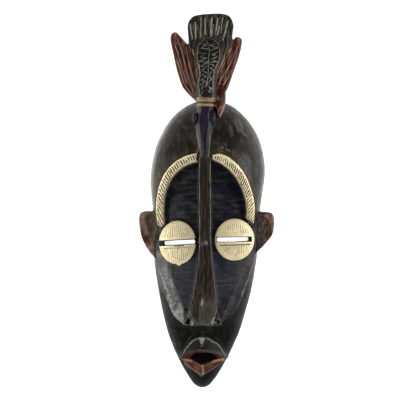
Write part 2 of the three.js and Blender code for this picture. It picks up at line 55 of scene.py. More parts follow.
BROW_Y = -10
LEFT_BROW = {
    "side": -1,
    "edge": (54.2, 61.8, 2.3, 0),
    "outer": (65.5, 73, 2.3, 0),
    "near_nose": 14.8,
    "outer_end": -17,
    "inner_end": -28,
    "corner": (-62.8, -29),
    "tip": (-57.8, -33),
    "lean": [(-30, -27), (10, -30), (41, -36), (51, -32), (68, -14)],
    "spacing": [(-30, 2.9), (10, 3), (41, 3.3), (70, 3)],
}
RIGHT_BROW = {
    "side": 1,
    "edge": (49.3, 63.8, 1.82, 0),
    "outer": (48.3, 71.8, 1.76, 13),
    "near_nose": 5.4,
    "outer_end": -22,
    "inner_end": -18,
    "corner": None,
    "tip": (60.2, -25.8),
    "lean": [(-25, 38), (7, 36), (23, 27), (38, 19), (50, 11), (66, 0)],
    "spacing": [(-25, 2.8), (66, 2.7)],
}
LEFT_CHEEK = [(-57.3, -37), (-63.8, -62), (-60.5, -88), (-51.5, -118), (-40, -144), (-26, -155.5)]
RIGHT_CHEEK = [(60.5, -33), (63.3, -56), (55.6, -91), (46, -122.5), (36.5, -141), (22, -150)]
NOSE_CENTRE = [(-153.5, -2.7), (-135, -2.4), (-110, -0.9), (-84, -0.8), (-50, -1.5), (0, -3), (57, -4.3)]
NOSE_HALF = [
    (-153.5, 6.6), (-145, 11.5), (-135, 17.2), (-125, 15.8), (-109, 13.4), (-84, 10.3), (-65, 8.1), (-50, 7.3),
    (57, 7.1),
]
MOUTH_X = -2
MOUTH_CORNER = (2.2, -197.6)
MUZZLE_RIDGE = (28.6, 4.4, -170.6, -219.8)
LIPS = (24.5, 6, -186, -207.6)
MOUTH_OPENING = (18.5, 8, -190.8, -204.6)
LOWER_LIP = [
    (-28.2, -198.4), (-27.3, -202.4), (-24.5, -208.6), (-16.2, -215.5), (-9.6, -219.1), (-2.5, -221.2), (4.4, -218.8),
    (12.6, -214.2), (20.1, -207.1), (26, -201.4), (28.4, -198.4),
]
BACK_CENTRE = [(130, -3.8), (137, -4), (150, -5.2), (160, -4), (183, -2.3), (207, -2)]
BACK_HALF = [
    (130, 9), (137, 9.2), (147, 9.9), (160, 9), (168, 10), (176, 13), (183, 15.2), (195, 14.7), (203, 11.4), (207, 7),
]
BACK_MIDLINE = [(-5.3, 146), (-2.5, 154.8), (-2, 167.4), (-2.3, 180), (-0.9, 192.6), (-4.9, 205)]
LEFT_WING = [
    (-10, 124), (-20.8, 132.6), (-31.4, 143), (-37, 153), (-42.4, 169), (-49.8, 199.8), (-51.2, 209), (-49.6, 214.6),
    (-45.8, 216.3), (-41.4, 214.2), (-29.8, 201.5), (-10, 182),
]
RIGHT_WING = [
    (6, 134), (20.6, 141.5), (28.2, 160.7), (36.6, 186.3), (40.4, 205.6), (38.8, 210.6), (34.6, 212.2), (30, 209.6),
    (22.4, 197.5), (6, 183),
]
BEAK_CENTRE = [(57.5, -4), (91, -6.2), (112, -5.6), (124, -4.6)]
BEAK_HALF = [(57.5, 5.4), (70, 6.4), (91, 9.6), (98, 11), (112, 10.8), (124, 10.2)]
LOBES = [(-17.8, 106, 4.6, 9.6), (4.6, 107, 4.8, 11)]
STRUT_CENTRE = [(108, 12.8), (114, 13.3), (125, 13.8), (150, 12.4)]
STRUT_HALF = [(108, 0.8), (114, 3.2), (125, 6.6), (150, 8)]
LEFT_EYE = {
    "at": (-35.9, -51.2, 48),
    "radii": (23.6, 27.1),
    "tilt": -13,
    "gap": {"from": -70, "to": -12, "height": 7.4, "lift": 0.4, "turn": 5},
    "tab": 2.6,
    "strokes": (0.94, 0.84),
}
RIGHT_EYE = {
    "at": (35.2, -45.9, 47.5),
    "radii": (25.3, 26),
    "tilt": 13,
    "gap": {"from": 12.4, "to": 57.6, "height": 7, "lift": 0.4, "turn": 1.8},
    "tab": None,
    "strokes": (0.88, 0.74),
}
TAIL_RIDGES = [
    [(-26.2, 226.4), (-23.4, 207.5)], [(-19.7, 229.6), (-18.9, 208)], [(-12.9, 236), (-12.9, 210.8)],
    [(-7.1, 235.6), (-7, 214.2)], [(1.5, 236.3), (-0.1, 215.6)], [(3.4, 226), (0.9, 211.8)],
    [(8.7, 235.6), (6.9, 219.5)], [(10.6, 225.3), (8.5, 213.3)], [(14.9, 235.7), (12.9, 216.8)],
    [(21.4, 231.2), (18.8, 217.8), (15.6, 207.3)], [(21.4, 231.2), (18.8, 217.8)],
]
WING_RIDGES = [
    [(-42.7, 181.8), (-37.1, 166.4), (-32.9, 152.9), (-25.9, 141.4)],
    [(-42.3, 207.9), (-35.7, 191.6), (-30.3, 169.4), (-21.1, 142.5)],
    [(-44.5, 199.2), (-40.4, 187.6), (-35.1, 167.4), (-29, 152)],
    [(-30.9, 197.5), (-26.6, 176.3), (-20.4, 157), (-18.3, 147.4)],
    [(-23.1, 195.7), (-17.9, 178.4), (-16.2, 162.9), (-16.3, 145.5)],
    [(34, 198.9), (29.4, 185.2), (22, 170.5), (14.5, 157.8), (8.9, 145)],
    [(27.8, 169.7), (22.2, 157.9), (14.7, 146.1)],
    [(26.3, 196.8), (19.8, 183.1), (13.3, 167.4), (6.8, 153.7)],
    [(20.4, 198.6), (16.9, 181.1), (10.4, 166.4), (5.5, 153.7)],
]
EYE_EDGE = 1.6
EYE_CROWN = 4.6
FIT_GAP = 0.3
BROW_LIP = 1.6
NOSE_END = 57.4
JAW_TOP = -156
BACK_START = 133
BACK_HEIGHT = 46
DOME = {"middle": (1.2, 35), "half": 74.6, "rise": 99.4, "height": 66}

# How the meshes are worked: reaches in metres, grids in columns and rows, strokes in millimetres apart.

SHARP_ANGLE = math.radians(37)
SHARP_REACH = (0.0004, 0.008)
HIDDEN_THINNING = 0.9
BAND_STEPS = np.linspace(0, 1, 300)
BAND_GRID = (420, 26)
EYE_GRID = (220, 76)
EYE_STROKES = 2.05

# The stage, in metres.

CAMERA_PLACE = (-0.00915, 0.0033, 1.6)
CAMERA_ROLL = math.radians(1.2)
CAMERA_LENS = 110.16
LIGHTS = (
    ("left_light", (-1.02, -0.1, 0.56), 0.5),
    ("right_light", (0.98, 0.12, 0.5), 0.6),
    ("top_light", (0.2, -1.1, 1.1), 0.5),
)
WORLD_LIGHT = 0.16


# Settings


def length_setting(name, description, size, least=0.0):
    return bpy.props.FloatProperty(name=name, description=description, default=size, min=least, unit="LENGTH")


def count_setting(name, description, count, least=0):
    return bpy.props.IntProperty(name=name, description=description, default=count, min=least)


def light_setting(name, description, strength, unit="NONE"):
    return bpy.props.FloatProperty(name=name, description=description, default=strength, min=0, unit=unit)


def colour_setting(name, description, colour):
    return bpy.props.FloatVectorProperty(
        name=name, description=description, default=colour, subtype="COLOR", min=0, max=1
    )


class CarvingSettings(bpy.types.PropertyGroup):
    """Sizes of the carving and of the brass."""

    fineness: length_setting("Fineness", "Spacing of the carved surface's points", 0.0009, 0.0004)
    softening: count_setting("Softening", "Passes that round off the facets of the solid", 160)
    unevenness: length_setting("Unevenness", "How far the hand-carved surface wanders", 0.00035)
    incision: length_setting("Incision", "Depth of the lines cut in the bird's back", 0.0006)
    triangles: count_setting("Triangles", "Triangles that the carving keeps", 190000, 1000)
    sheet: length_setting("Brass sheet", "Thickness of the brass", 0.0009)
    emboss: length_setting("Embossing", "Height of the strokes in the brass", 0.00045)


class PaintSettings(bpy.types.PropertyGroup):
    """Colours of the wood, the paint and the brass."""

    head: colour_setting("Head", "Brown-black stain of the head", (0.026, 0.021, 0.016))
    face: colour_setting("Face", "Purple-black paint inside the brows and on the cheeks", (0.014, 0.0125, 0.02))
    nose: colour_setting("Nose", "Dark brown top of the nose", (0.024, 0.017, 0.013))
    muzzle: colour_setting("Muzzle", "Purple-black paint above the lips", (0.02, 0.015, 0.018))
    lips: colour_setting("Lips", "Red-brown paint of the lips", (0.1, 0.018, 0.008))
    ears: colour_setting("Ears", "Brown inside of the ears", (0.14, 0.08, 0.058))
    wings: colour_setting("Wings", "Red-brown paint of the wings", (0.08, 0.015, 0.008))
    bird: colour_setting("Bird's head", "Purple-black paint of the bird's head", (0.014, 0.011, 0.02))
    back: colour_setting("Bird's back", "Black ground of the bird's back", (0.008, 0.009, 0.01))
    tail: colour_setting("Tail", "Dark grey paint of the tail", (0.03, 0.028, 0.023))
    lines: colour_setting("Lines", "Grey-olive wood on the ridges and in the incised lines", (0.24, 0.225, 0.175))
    collar: colour_setting("Collar", "Tan wood of the collar", (0.33, 0.22, 0.13))
    rubbed: colour_setting("Rubbed edges", "Grey wood where the paint is rubbed off", (0.17, 0.15, 0.125))
    pink: colour_setting("Pink wood", "Wood under the red-brown paint", (0.32, 0.18, 0.115))
    lip: colour_setting("Brow edge", "Rubbed wooden edge inside the brow bands", (0.4, 0.32, 0.26))
    grime: colour_setting("Grime", "Olive-brown smudges above the brow bands", (0.055, 0.042, 0.02))
    raw: colour_setting("Hollow", "Stained wood inside the hollow", (0.07, 0.042, 0.025))
    dust: colour_setting("Dust", "Grey wax and dust in the corners", (0.09, 0.08, 0.07))
    brass: colour_setting("Brass", "Pale brass", (1, 0.87, 0.52))
    tarnish: colour_setting("Tarnish", "Olive-brown tarnish between the strokes", (0.095, 0.07, 0.022))


class StageSettings(bpy.types.PropertyGroup):
    """Floor and light."""

    floor_glow: light_setting("Floor glow", "Light that the white floor gives", 0.8)
    backlight: light_setting("Backlight", "Light that the floor gives behind the eye slits", 1)
    left_light: light_setting("Left light", "Power of the large light at the left", 7, "POWER")
    right_light: light_setting("Right light", "Power of the large light at the right", 7, "POWER")
    top_light: light_setting("Top light", "Power of the light above", 6, "POWER")


# Modelling helpers


def select_only(*objects):
    if bpy.context.object and bpy.context.object.mode != "OBJECT":
        bpy.ops.object.mode_set(mode="OBJECT")
    bpy.ops.object.select_all(action="DESELECT")
    for each in objects:
        each.select_set(True)
        bpy.context.view_layer.objects.active = each


def in_edit_mode(piece, *steps):
    """Run (operator, options) steps on all of a piece's mesh."""
    select_only(piece)
    bpy.ops.object.mode_set(mode="EDIT")
    bpy.ops.mesh.select_all(action="SELECT")
    for operator, options in steps:
        operator(**options)
    bpy.ops.object.mode_set(mode="OBJECT")


def finish_modifier(piece, kind, **options):
    """Add a modifier with these options and apply it."""
    select_only(piece)
    modifier = piece.modifiers.new(kind.title(), kind)
    for name, value in options.items():
        setattr(modifier, name, value)
    bpy.ops.object.modifier_apply(modifier=modifier.name)


def points_of(piece):
    points = np.empty(len(piece.data.vertices) * 3)
    piece.data.vertices.foreach_get("co", points)
    return points.reshape(-1, 3)


def move_points(piece, points):
    piece.data.vertices.foreach_set("co", np.ascontiguousarray(points, dtype=float).ravel())
    piece.data.update()


def normals_of(piece):
    normals = np.empty(len(piece.data.vertices) * 3)
    piece.data.vertex_normals.foreach_get("vector", normals)
    return normals.reshape(-1, 3)


def merged_copy(node, name):
    """A copy of a CAD node's mesh with its doubles merged."""
    piece = bpy.data.objects.new(name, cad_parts[node].data.copy())
    piece.data.name = name
    piece.data.materials.clear()
    bpy.context.collection.objects.link(piece)
    in_edit_mode(piece, (bpy.ops.mesh.remove_doubles, {"threshold": 1e-6}))
    return piece


def formed_sheet(name, columns, rows, place):
    """A grid that a rule puts in place, from (u, v) between 0 and 1 to points in millimetres."""
    select_only()
    bpy.ops.mesh.primitive_grid_add(x_subdivisions=columns, y_subdivisions=rows, size=1)
    sheet = bpy.context.object
    sheet.name = sheet.data.name = name
    u, v = np.clip(points_of(sheet)[:, :2].T + 0.5, 0, 1)
    move_points(sheet, place(u, v) * MM)
    set_attribute(sheet, "along", u)
    set_attribute(sheet, "across", v)
    in_edit_mode(sheet, (bpy.ops.mesh.remove_doubles, {"threshold": 2e-5}))
    return sheet


def face_up(sheet):
    """Turn an open sheet's faces away from the wood."""
    in_edit_mode(sheet, (bpy.ops.mesh.normals_make_consistent, {"inside": False}))
    if normals_of(sheet)[:, 2].mean() < 0:
        in_edit_mode(sheet, (bpy.ops.mesh.flip_normals, {}))


def set_attribute(piece, name, values):
    colour = values.ndim == 2
    kind = "FLOAT_COLOR" if colour else "FLOAT"
    made = piece.data.attributes.new(name, kind, "POINT")
    if colour:
        values = np.column_stack([values, np.ones(len(values))])
    made.data.foreach_set("color" if colour else "value", np.ascontiguousarray(values, dtype=float).ravel())


def read_attribute(piece, name):
    values = np.empty(len(piece.data.vertices))
    piece.data.attributes[name].data.foreach_get("value", values)
    return values


def ramp(low, high, value):
    """Goes smoothly from 0 at low to 1 at high."""
    part = np.clip((value - low) / (high - low), 0, 1)
    return part * part * (3 - 2 * part)


def along(table, place):
    places, values = zip(*table)
    return np.interp(place, places, values)


def inside(outline, x, y):
    """Which points lie inside a plan outline."""
    found = np.zeros(len(x), bool)
    ends = np.array(outline, float)
    for (x0, y0), (x1, y1) in zip(ends, np.roll(ends, -1, axis=0)):
        if y0 != y1:
            found ^= ((y0 > y) != (y1 > y)) & (x < (x1 - x0) * (y - y0) / (y1 - y0) + x0)
    return found


def shifted(path, by):
    return [(x + by, y) for x, y in path]


def line_distance(line, x, y):
    """How far points are from an open line in plan."""
    nearest = np.full(len(x), 1e9)
    for (x0, y0), (x1, y1) in zip(line[:-1], line[1:]):
        run = (x1 - x0) ** 2 + (y1 - y0) ** 2
        part = np.clip(((x - x0) * (x1 - x0) + (y - y0) * (y1 - y0)) / run, 0, 1)
        nearest = np.minimum(nearest, np.hypot(x - x0 - part * (x1 - x0), y - y0 - part * (y1 - y0)))
    return nearest


def wander(points, size, seed):
    """Smooth noise at points in metres, for bumps of one size in metres."""
    shift = Vector((seed * 17.3, seed * 5.1, seed * 9.7))
    return np.array([noise.noise(Vector(point) + shift) for point in (points / size).tolist()])


def brow_line(line, side, end_y, count):
    half_width, rise, squareness, centre = line
    drop = max(BROW_Y - end_y, 0) / rise
    angle = np.linspace(math.pi / 2, -math.asin(drop ** (squareness / 2)), count)
    x = centre + half_width * np.clip(np.cos(angle), 0, 1) ** (2 / squareness)
    up = np.sin(angle)
    return np.column_stack([side * x, BROW_Y + rise * np.sign(up) * np.abs(up) ** (2 / squareness)])


def face_outline():
    """Plan outline of the sunk face, inside the brows and the cheeks."""
    left, right = (
        brow_line(brow["edge"], brow["side"], brow["inner_end"], 19)[1:] for brow in (LEFT_BROW, RIGHT_BROW)
    )
    return [*left, *LEFT_CHEEK, *RIGHT_CHEEK[::-1], *right[::-1]]


def brow_distance(line, end, x, y):
    """How far points are in plan from the nearer brow's inner or outer line."""
    return np.minimum(*(
        line_distance(brow_line(brow[line], brow["side"], brow[end], 40), x, y) for brow in (LEFT_BROW, RIGHT_BROW)
    ))


def mouth_line(half, flat, top, bottom):
    """Plan outline of one ring of the muzzle."""
    corners = {side: np.array([MOUTH_X + MOUTH_CORNER[0] + side * half, MOUTH_CORNER[1]]) for side in (-1, 1)}
    arcs = {}
    for side, corner in corners.items():
        high = np.array([MOUTH_X + side * flat, top])
        bend = np.array([MOUTH_X + MOUTH_CORNER[0] + side * half * 0.74, top + 0.22 * (MOUTH_CORNER[1] - top)])
        t = np.linspace(0, 1, 9)[:, None]
        arcs[side] = corner * (1 - t) ** 2 + bend * 2 * t * (1 - t) + high * t * t
    return [*arcs[1], *arcs[-1][::-1], np.array([MOUTH_X - 1, bottom])]


# Shaders


class Value:
    """A number that a shader works out: Python's operators on it add Math nodes."""

    def __init__(self, finish, socket):
        self.finish, self.socket = finish, socket

    def maths(self, operation, *values):
        return self.finish.node("ShaderNodeMath", {"operation": operation}, dict(enumerate(values)))

    def __add__(self, other):
        return self.maths("ADD", self, other)

    def __sub__(self, other):
        return self.maths("SUBTRACT", self, other)

    def __mul__(self, other):
        return self.maths("MULTIPLY", self, other)

    def __rsub__(self, other):
        return self.maths("SUBTRACT", other, self)

    __radd__ = __add__

    def between(self, low, high):
        """0 below low, 1 above high, smooth between them."""
        settings = {"interpolation_type": "SMOOTHSTEP"}
        return self.finish.node("ShaderNodeMapRange", settings, {"Value": self, "From Min": low, "From Max": high})


class Finish:
    """A material, and the ways to add nodes to it."""

    def __init__(self, name):
        self.material = bpy.data.materials.new(name)
        self.material.use_nodes = True
        self.tree = self.material.node_tree
        self.tree.nodes.clear()
        self.place = self.node("ShaderNodeTexCoord", output="Object")

    def node(self, kind, settings=None, sockets=None, output=0):
        """Add a node: its settings first, then the values or links of its sockets."""
        made = self.tree.nodes.new(kind)
        for name, value in (settings or {}).items():
            setattr(made, name, value)
        for key, value in (sockets or {}).items():
            if isinstance(value, Value):
                self.tree.links.new(value.socket, made.inputs[key])
            else:
                made.inputs[key].default_value = value
        return Value(self, made.outputs[output]) if made.outputs else None

    def attribute(self, name, output="Fac"):
        return self.node("ShaderNodeAttribute", {"attribute_name": name}, output=output)

    def noise(self, scale, stretch=(1, 1, 1), detail=3, roughness=0.5):
        place = self.node("ShaderNodeMapping", {}, {"Vector": self.place, "Scale": stretch})
        sockets = {"Vector": place, "Scale": scale, "Detail": detail, "Roughness": roughness}
        return self.node("ShaderNodeTexNoise", {}, sockets, "Fac")

    def mix(self, first, second, factor):
        """Go from one colour to another; node inputs 6 and 7 are its two colours, and its output 2 is a colour."""
        colours = [(*c, 1) if isinstance(c, tuple) else c for c in (first, second)]
        return self.node("ShaderNodeMix", {"data_type": "RGBA"}, {0: factor, 6: colours[0], 7: colours[1]}, 2)

    def scaled(self, colour, factor):
        return self.node("ShaderNodeVectorMath", {"operation": "SCALE"}, {"Vector": colour, "Scale": factor})

    def bump(self, height, depth, strength=1.0):
        return self.node("ShaderNodeBump", {}, {"Height": height, "Distance": depth, "Strength": strength})

    def surface(self, **sockets):
        """Close the material with a Principled shader; a socket's spaces are written as underscores."""
        named = {key.replace("_", " "): value for key, value in sockets.items()}
        shader = self.node("ShaderNodeBsdfPrincipled", {}, named)
        self.node("ShaderNodeOutputMaterial", {}, {"Surface": shader})
        return self.material


def painted_wood(colours):
    """Thin dark paint and wax over carved wood, rubbed through on the edges."""
    wood = Finish("painted_wood")
    paint = wood.attribute("paint", "Color")
    under = wood.attribute("under", "Color")
    wear = wood.attribute("wear")
    hollow = wood.attribute("hollow")
    crosswise = wood.attribute("crosswise")
    cloud = wood.noise(28, detail=4, roughness=0.6)
    fibre = wood.noise(520, (1, 0.06, 1), detail=4, roughness=0.65)
    brushed = wood.noise(430, (0.08, 1, 0.5), detail=4, roughness=0.65)
    speck = wood.noise(800, detail=3, roughness=0.7)
    grain = (fibre - 0.5) * (1 - crosswise * 0.8) + (brushed - 0.5) * (0.15 + crosswise * 0.85)
    shade = 1 + (cloud - 0.5) * 1.1 + grain * 2.2 + (speck - 0.5) * 0.5
    coat = wood.scaled(paint, shade)
    rubbing = (wear + (speck - 0.5) * 0.5 + (fibre - 0.5) * 0.4).between(0.22, 0.95)
    worn = wood.scaled(under, 0.6 + fibre * 0.7)
    colour = wood.mix(coat, worn, rubbing)
    dusty = hollow * (0.03 + cloud * 0.22)
    colour = wood.mix(colour, tuple(colours.dust), dusty)
    black = 1 - wood.node("ShaderNodeRGBToBW", {}, {"Color": paint}).between(0.002, 0.008)
    roughness = 0.42 + (cloud - 0.5) * 0.3 + grain * 0.6 + rubbing * 0.15 + hollow * 0.15 + black * 0.45
    height = grain * 1.4 + speck * 0.3
    return wood.surface(
        Base_Color=colour, Roughness=roughness, Normal=wood.bump(height, 0.0004), Specular_IOR_Level=0.14,
        Coat_Weight=0.1, Coat_Roughness=0.15,
    )


def embossed_brass(colours):
    """Pale brass foil, tarnished between its strokes."""
    brass = Finish("embossed_brass")
    low = brass.attribute("hollow")
    cloud = brass.noise(110, detail=4, roughness=0.6)
    stain = brass.noise(160, (1, 0.5, 1), detail=4, roughness=0.6)
    speck = brass.noise(900, detail=3, roughness=0.7)
    tint = brass.mix(tuple(colours.brass), (0.9, 0.68, 0.52), cloud.between(0.5, 0.68) * 0.6)
    tint = brass.mix(tint, (0.6, 0.52, 0.22), stain.between(0.56, 0.76) * 0.4)
    tarnish = (low * 1.25 + (speck - 0.5) * 0.5 + (cloud - 0.5) * 0.3).between(0.15, 0.95)
    colour = brass.mix(tint, tuple(colours.tarnish), tarnish * 0.95)
    roughness = 0.34 + cloud * 0.16 + tarnish * 0.3
    return brass.surface(
        Base_Color=colour, Metallic=0.22 - tarnish * 0.15, Roughness=roughness, Normal=brass.bump(speck, 0.00012, 0.7)
    )


def white_floor(glow, backlight):
    """A plain pale floor that gives a little light of its own, and more behind the eye slits."""
    floor = Finish("pale_floor")
    grain = floor.noise(60, detail=2)
    colour = floor.mix((0.86, 0.86, 0.86), (0.9, 0.9, 0.9), grain)
    sockets = {"Vector": floor.place, "Location": (0, 0.05, 0), "Scale": (1, 1.6, 1)}
    near = floor.node("ShaderNodeMapping", {}, sockets)
    distance = floor.node("ShaderNodeVectorMath", {"operation": "LENGTH"}, {"Vector": near}, "Value")
    light = floor.mix((glow, glow, glow), (backlight, backlight, backlight), 1 - distance.between(0.05, 0.065))
    return floor.surface(Base_Color=colour, Roughness=0.9, Emission_Color=light, Emission_Strength=1.0)


# The carving


def sharp_edge_points(piece, least_angle, spacing):
    """Points along the edges of a solid that turn by more than an angle."""
    mesh = piece.data
    faces_of = {}
    for face in mesh.polygons:
        for key in face.edge_keys:
            faces_of.setdefault(key, []).append(face.normal)
    found = []
    for (a, b), normals in faces_of.items():
        if len(normals) == 2 and normals[0].angle(normals[1], 0) < least_angle:
            continue
        start, end = mesh.vertices[a].co, mesh.vertices[b].co
        count = max(int((end - start).length / spacing), 1)
        found += [start.lerp(end, step / count) for step in range(count + 1)]
    return found


def nearest(targets, points):
    """The index of the target nearest each point, and its distance."""
    tree = kdtree.KDTree(len(targets))
    for index, target in enumerate(targets):
        tree.insert(target, index)
    tree.balance()
    found = [tree.find(point)[1:] for point in points.tolist()]
    return [index for index, _ in found], np.array([distance for _, distance in found])


def weigh(piece, name, weights, levels=40):
    """Give a vertex group weights between 0 and 1."""
    group = piece.vertex_groups.new(name=name)
    step = np.round(weights * levels).astype(int)
    for level in range(1, levels + 1):
        group.add(np.flatnonzero(step == level).tolist(), level / levels, "REPLACE")
    return group.name


def spread(piece, values, passes, group=""):
    """Average a vector at each point with its neighbours', some passes over."""
    kept = points_of(piece)
    move_points(piece, values)
    finish_modifier(piece, "SMOOTH", factor=1.0, iterations=passes, vertex_group=group)
    result = points_of(piece)
    move_points(piece, kept)
    return result


def soften(piece, sharp, passes):
    """Round the facets off, but leave what is near a sharp edge, and don't let the form shrink."""
    start = points_of(piece)
    group = weigh(piece, "free", ramp(*SHARP_REACH, nearest(sharp, start)[1]))
    once = spread(piece, start, passes, group)
    move_points(piece, once + spread(piece, start - once, passes, group))
    piece.vertex_groups.clear()


def bulge(piece, passes):
    """How far each point stands out from its surroundings, in metres."""
    points = points_of(piece)
    return ((points - spread(piece, points, passes)) * normals_of(piece)).sum(axis=1)


def dome_height(x, y):
    """Height of the bare dome, where the bird lies on it."""
    middle_x, middle_y = DOME["middle"]
    part = np.clip((y - middle_y) / DOME["rise"], 0, 1)
    half = np.maximum(DOME["half"] * np.sqrt(1 - part**2), 0.01)
    high = DOME["height"] * (1 - part**2.2) ** (1 / 2.2)
    across = np.clip(np.abs(x - middle_x) / half, 0, 1)
    return high * (1 - across**2.25) ** (1 / 2.25)


def zigzag_lines():
    """The lines cut across both halves of the bird's back, and down its middle."""
    lines = [BACK_MIDLINE, [(-4, 151), (1.4, 143), (3, 139)], [(-13, 136), (-10, 133.5)]]
    for side in (-1, 1):
        zigzag = []
        for count, y in enumerate(np.arange(138, 204, 2.9)):
            middle = along([(b, a) for a, b in BACK_MIDLINE], y) + side * (2.9 + 0.9 * math.sin(count * 2.3))
            edge = along(BACK_CENTRE, y) + side * (along(BACK_HALF, y) - 3.2 - 1.1 * math.sin(count * 1.7 + side))
            zigzag.append((middle if count % 2 else edge, y + 0.7 * math.sin(count * 3.1 + side)))
            if count % 5 == 3:
                lines.append(zigzag)
                zigzag = [(middle - side * 0.5, y + 1.6)]
        lines.append(zigzag)
    for x, y in ((-9, 207), (-3, 208.5), (3, 208), (7, 206)):
        lines.append([(x - 1.6, y - 1.4), (x, y), (x + 1.8, y - 0.4)])
    return lines


def incised(points):
    """How deep the bird's back is cut at a point, from 0 to 1."""
    x, y, _ = (points / MM).T
    depth = np.zeros(len(x))
    stray_x = x + 0.9 * wander(points, 0.004, 5)
    stray_y = y + 0.9 * wander(points, 0.004, 6)
    for count, line in enumerate(zigzag_lines()):
        reach = line_distance(line, stray_x, stray_y)
        depth = np.maximum(depth, 1 - (ramp(0.25, 0.85, reach) if count == 0 else ramp(0.1, 0.65, reach)))
    depth *= 0.5 + 0.9 * ramp(-0.3, 0.3, wander(points, 0.0026, 9))
    rim = np.abs(np.abs(stray_x - along(BACK_CENTRE, y)) - along(BACK_HALF, y) + 0.6)
    return np.clip(np.maximum(depth, 0.9 * (1 - ramp(0.2, 0.75, rim)) * (y < 206)), 0, 1)


class Coat:
    """The paint at each point of the carving, the wood under it, and how readily it is rubbed off there."""

    def __init__(self, carving, colours):
        self.points, self.normals = points_of(carving), normals_of(carving)
        self.x, self.y, self.z = (self.points / MM).T
        self.up = self.normals[:, 2]
        self.colours = SimpleNamespace(
            **{name: np.array(getattr(colours, name)) for name in PaintSettings.__annotations__}
        )
        self.cloudy = wander(self.points, 0.017, 4)
        self.stray = (self.x + 0.6 * wander(self.points, 0.006, 5), self.y + 0.6 * wander(self.points, 0.006, 6))
        self.paint = np.tile(self.colours.head, (len(self.points), 1))
        self.under = np.tile(self.colours.rubbed, (len(self.points), 1))
        self.ease = np.full(len(self.points), 0.5)
        self.crosswise = np.full(len(self.points), 0.35)

    def lay(self, where, colour, ease=None, wood=None):
        """Paint the places where a mask is 1; set their ease of rubbing and the colour of their wood."""
        part = np.clip(np.asarray(where, float), 0, 1)
        self.paint += (np.array(colour) - self.paint) * part[:, None]
        if ease is not None:
            self.ease += (ease - self.ease) * part
        if wood is not None:
            self.under += (np.array(wood) - self.under) * part[:, None]

    def draw(self, path, width, colour, where, strength):
        """A hand-drawn line, thinner here and there."""
        reach = line_distance(path, *self.stray)
        self.lay(where * strength * ramp(width, width * 0.35, reach + 0.3 * self.cloudy), colour)

    def draw_all(self, where, *lines):
        """Draw several lines on one place: each is (path, width, colour, strength)."""
        for path, width, colour, strength in lines:
            self.draw(path, width, colour, where, strength)

    def mottle(self, where, pattern, low, high, *shades):
        """Paint one shade where a pattern is high and one where it is low: each is (strength, colour)."""
        for sign, (strength, colour) in zip((1, -1), shades):
            self.lay(where * ramp(low, high, sign * pattern) * strength, colour)

    def streaks(self, stretch, size, seed):
        """Noise drawn out along one direction."""
        return wander(self.points * np.array(stretch), size, seed)


def paint_head(coat):
    """The stained head with a painted sheen on its flanks, the smudges above the brows and the rubbed strokes of the
    dome.
    """
    colours = coat.colours
    patches, fine = wander(coat.points, 0.03, 16), coat.streaks((1, 0.45, 1), 0.005, 17)
    coat.mottle(1, coat.cloudy, 0.02, 0.35, (0.85, (0.034, 0.03, 0.012)), (0.8, (0.02, 0.01, 0.016)))
    coat.lay(ramp(0, 0.35, patches) * (coat.y > -40) * 0.8, (0.045, 0.042, 0.035))
    coat.lay(ramp(0, 0.35, -patches) * 0.7, (0.009, 0.008, 0.007))
    coat.lay(ramp(12, 30, coat.x) * ramp(60, 50, coat.x) * ramp(40, 60, coat.y) * 0.35, (0.008, 0.007, 0.006))
    coat.lay(ramp(0.1, 0.45, fine) * (coat.y > -40) * 0.5, (0.075, 0.07, 0.055))
    coat.lay(ramp(0.1, 0.45, -fine) * 0.6, (0.006, 0.005, 0.004))
    coat.lay(ramp(-50, -120, coat.y) * 0.9, (0.004, 0.0036, 0.0032), 0.2)
    # Painted sheen: the flanks are painted paler than the dome, the left one much paler, for the light they catch at
    # the outline.
    flank = ramp(0.5, 0.12, coat.up) * (coat.y > -60) * (coat.y < 120) * (coat.z < 55)
    coat.lay(flank * (0.75 + 0.3 * fine) * (coat.x < 0), (0.46, 0.435, 0.4))
    coat.lay(flank * (0.6 + 0.3 * fine) * (coat.x > 0), (0.2, 0.187, 0.17))
    outer = brow_distance("outer", "outer_end", coat.x, coat.y)
    smudge = ramp(10, 0, outer + 7 * coat.cloudy) * ramp(-20, 30, coat.y)
    coat.lay(smudge * 0.85, colours.grime)
    coat.lay(smudge * ramp(0.05, 0.3, fine) * 0.6, (0.14, 0.09, 0.04))
    # A dark line right along the outer edge of the brow bands.
    coat.lay(ramp(2, 0.8, outer + 0.5 * coat.cloudy) * 0.9, (0.01, 0.007, 0.003))
    coat.draw([(16, 70.2), (24, 66.8), (33, 63)], 0.7, (0.2, 0.19, 0.18), coat.y > 57, 0.85)
    coat.draw([(30, 62.5), (38, 58.2), (46, 51)], 0.6, (0.2, 0.16, 0.09), 1, 0.5)
    for path in (
        [(33, 106), (36, 98), (37.5, 91)], [(38, 105), (43, 96)], [(27, 98), (30, 86)], [(40, 94), (46, 87)],
    ):
        coat.draw(path, 2.6, (0.11, 0.105, 0.075), coat.up > 0, 0.75)
    coat.draw([(11, 60), (12, 68), (14, 76)], 1.6, (0.1, 0.08, 0.05), coat.z > 60, 0.5)
    coat.draw([(-13, 62), (-12.4, 70), (-13, 76)], 1.6, (0.24, 0.19, 0.13), coat.z > 60, 0.6)


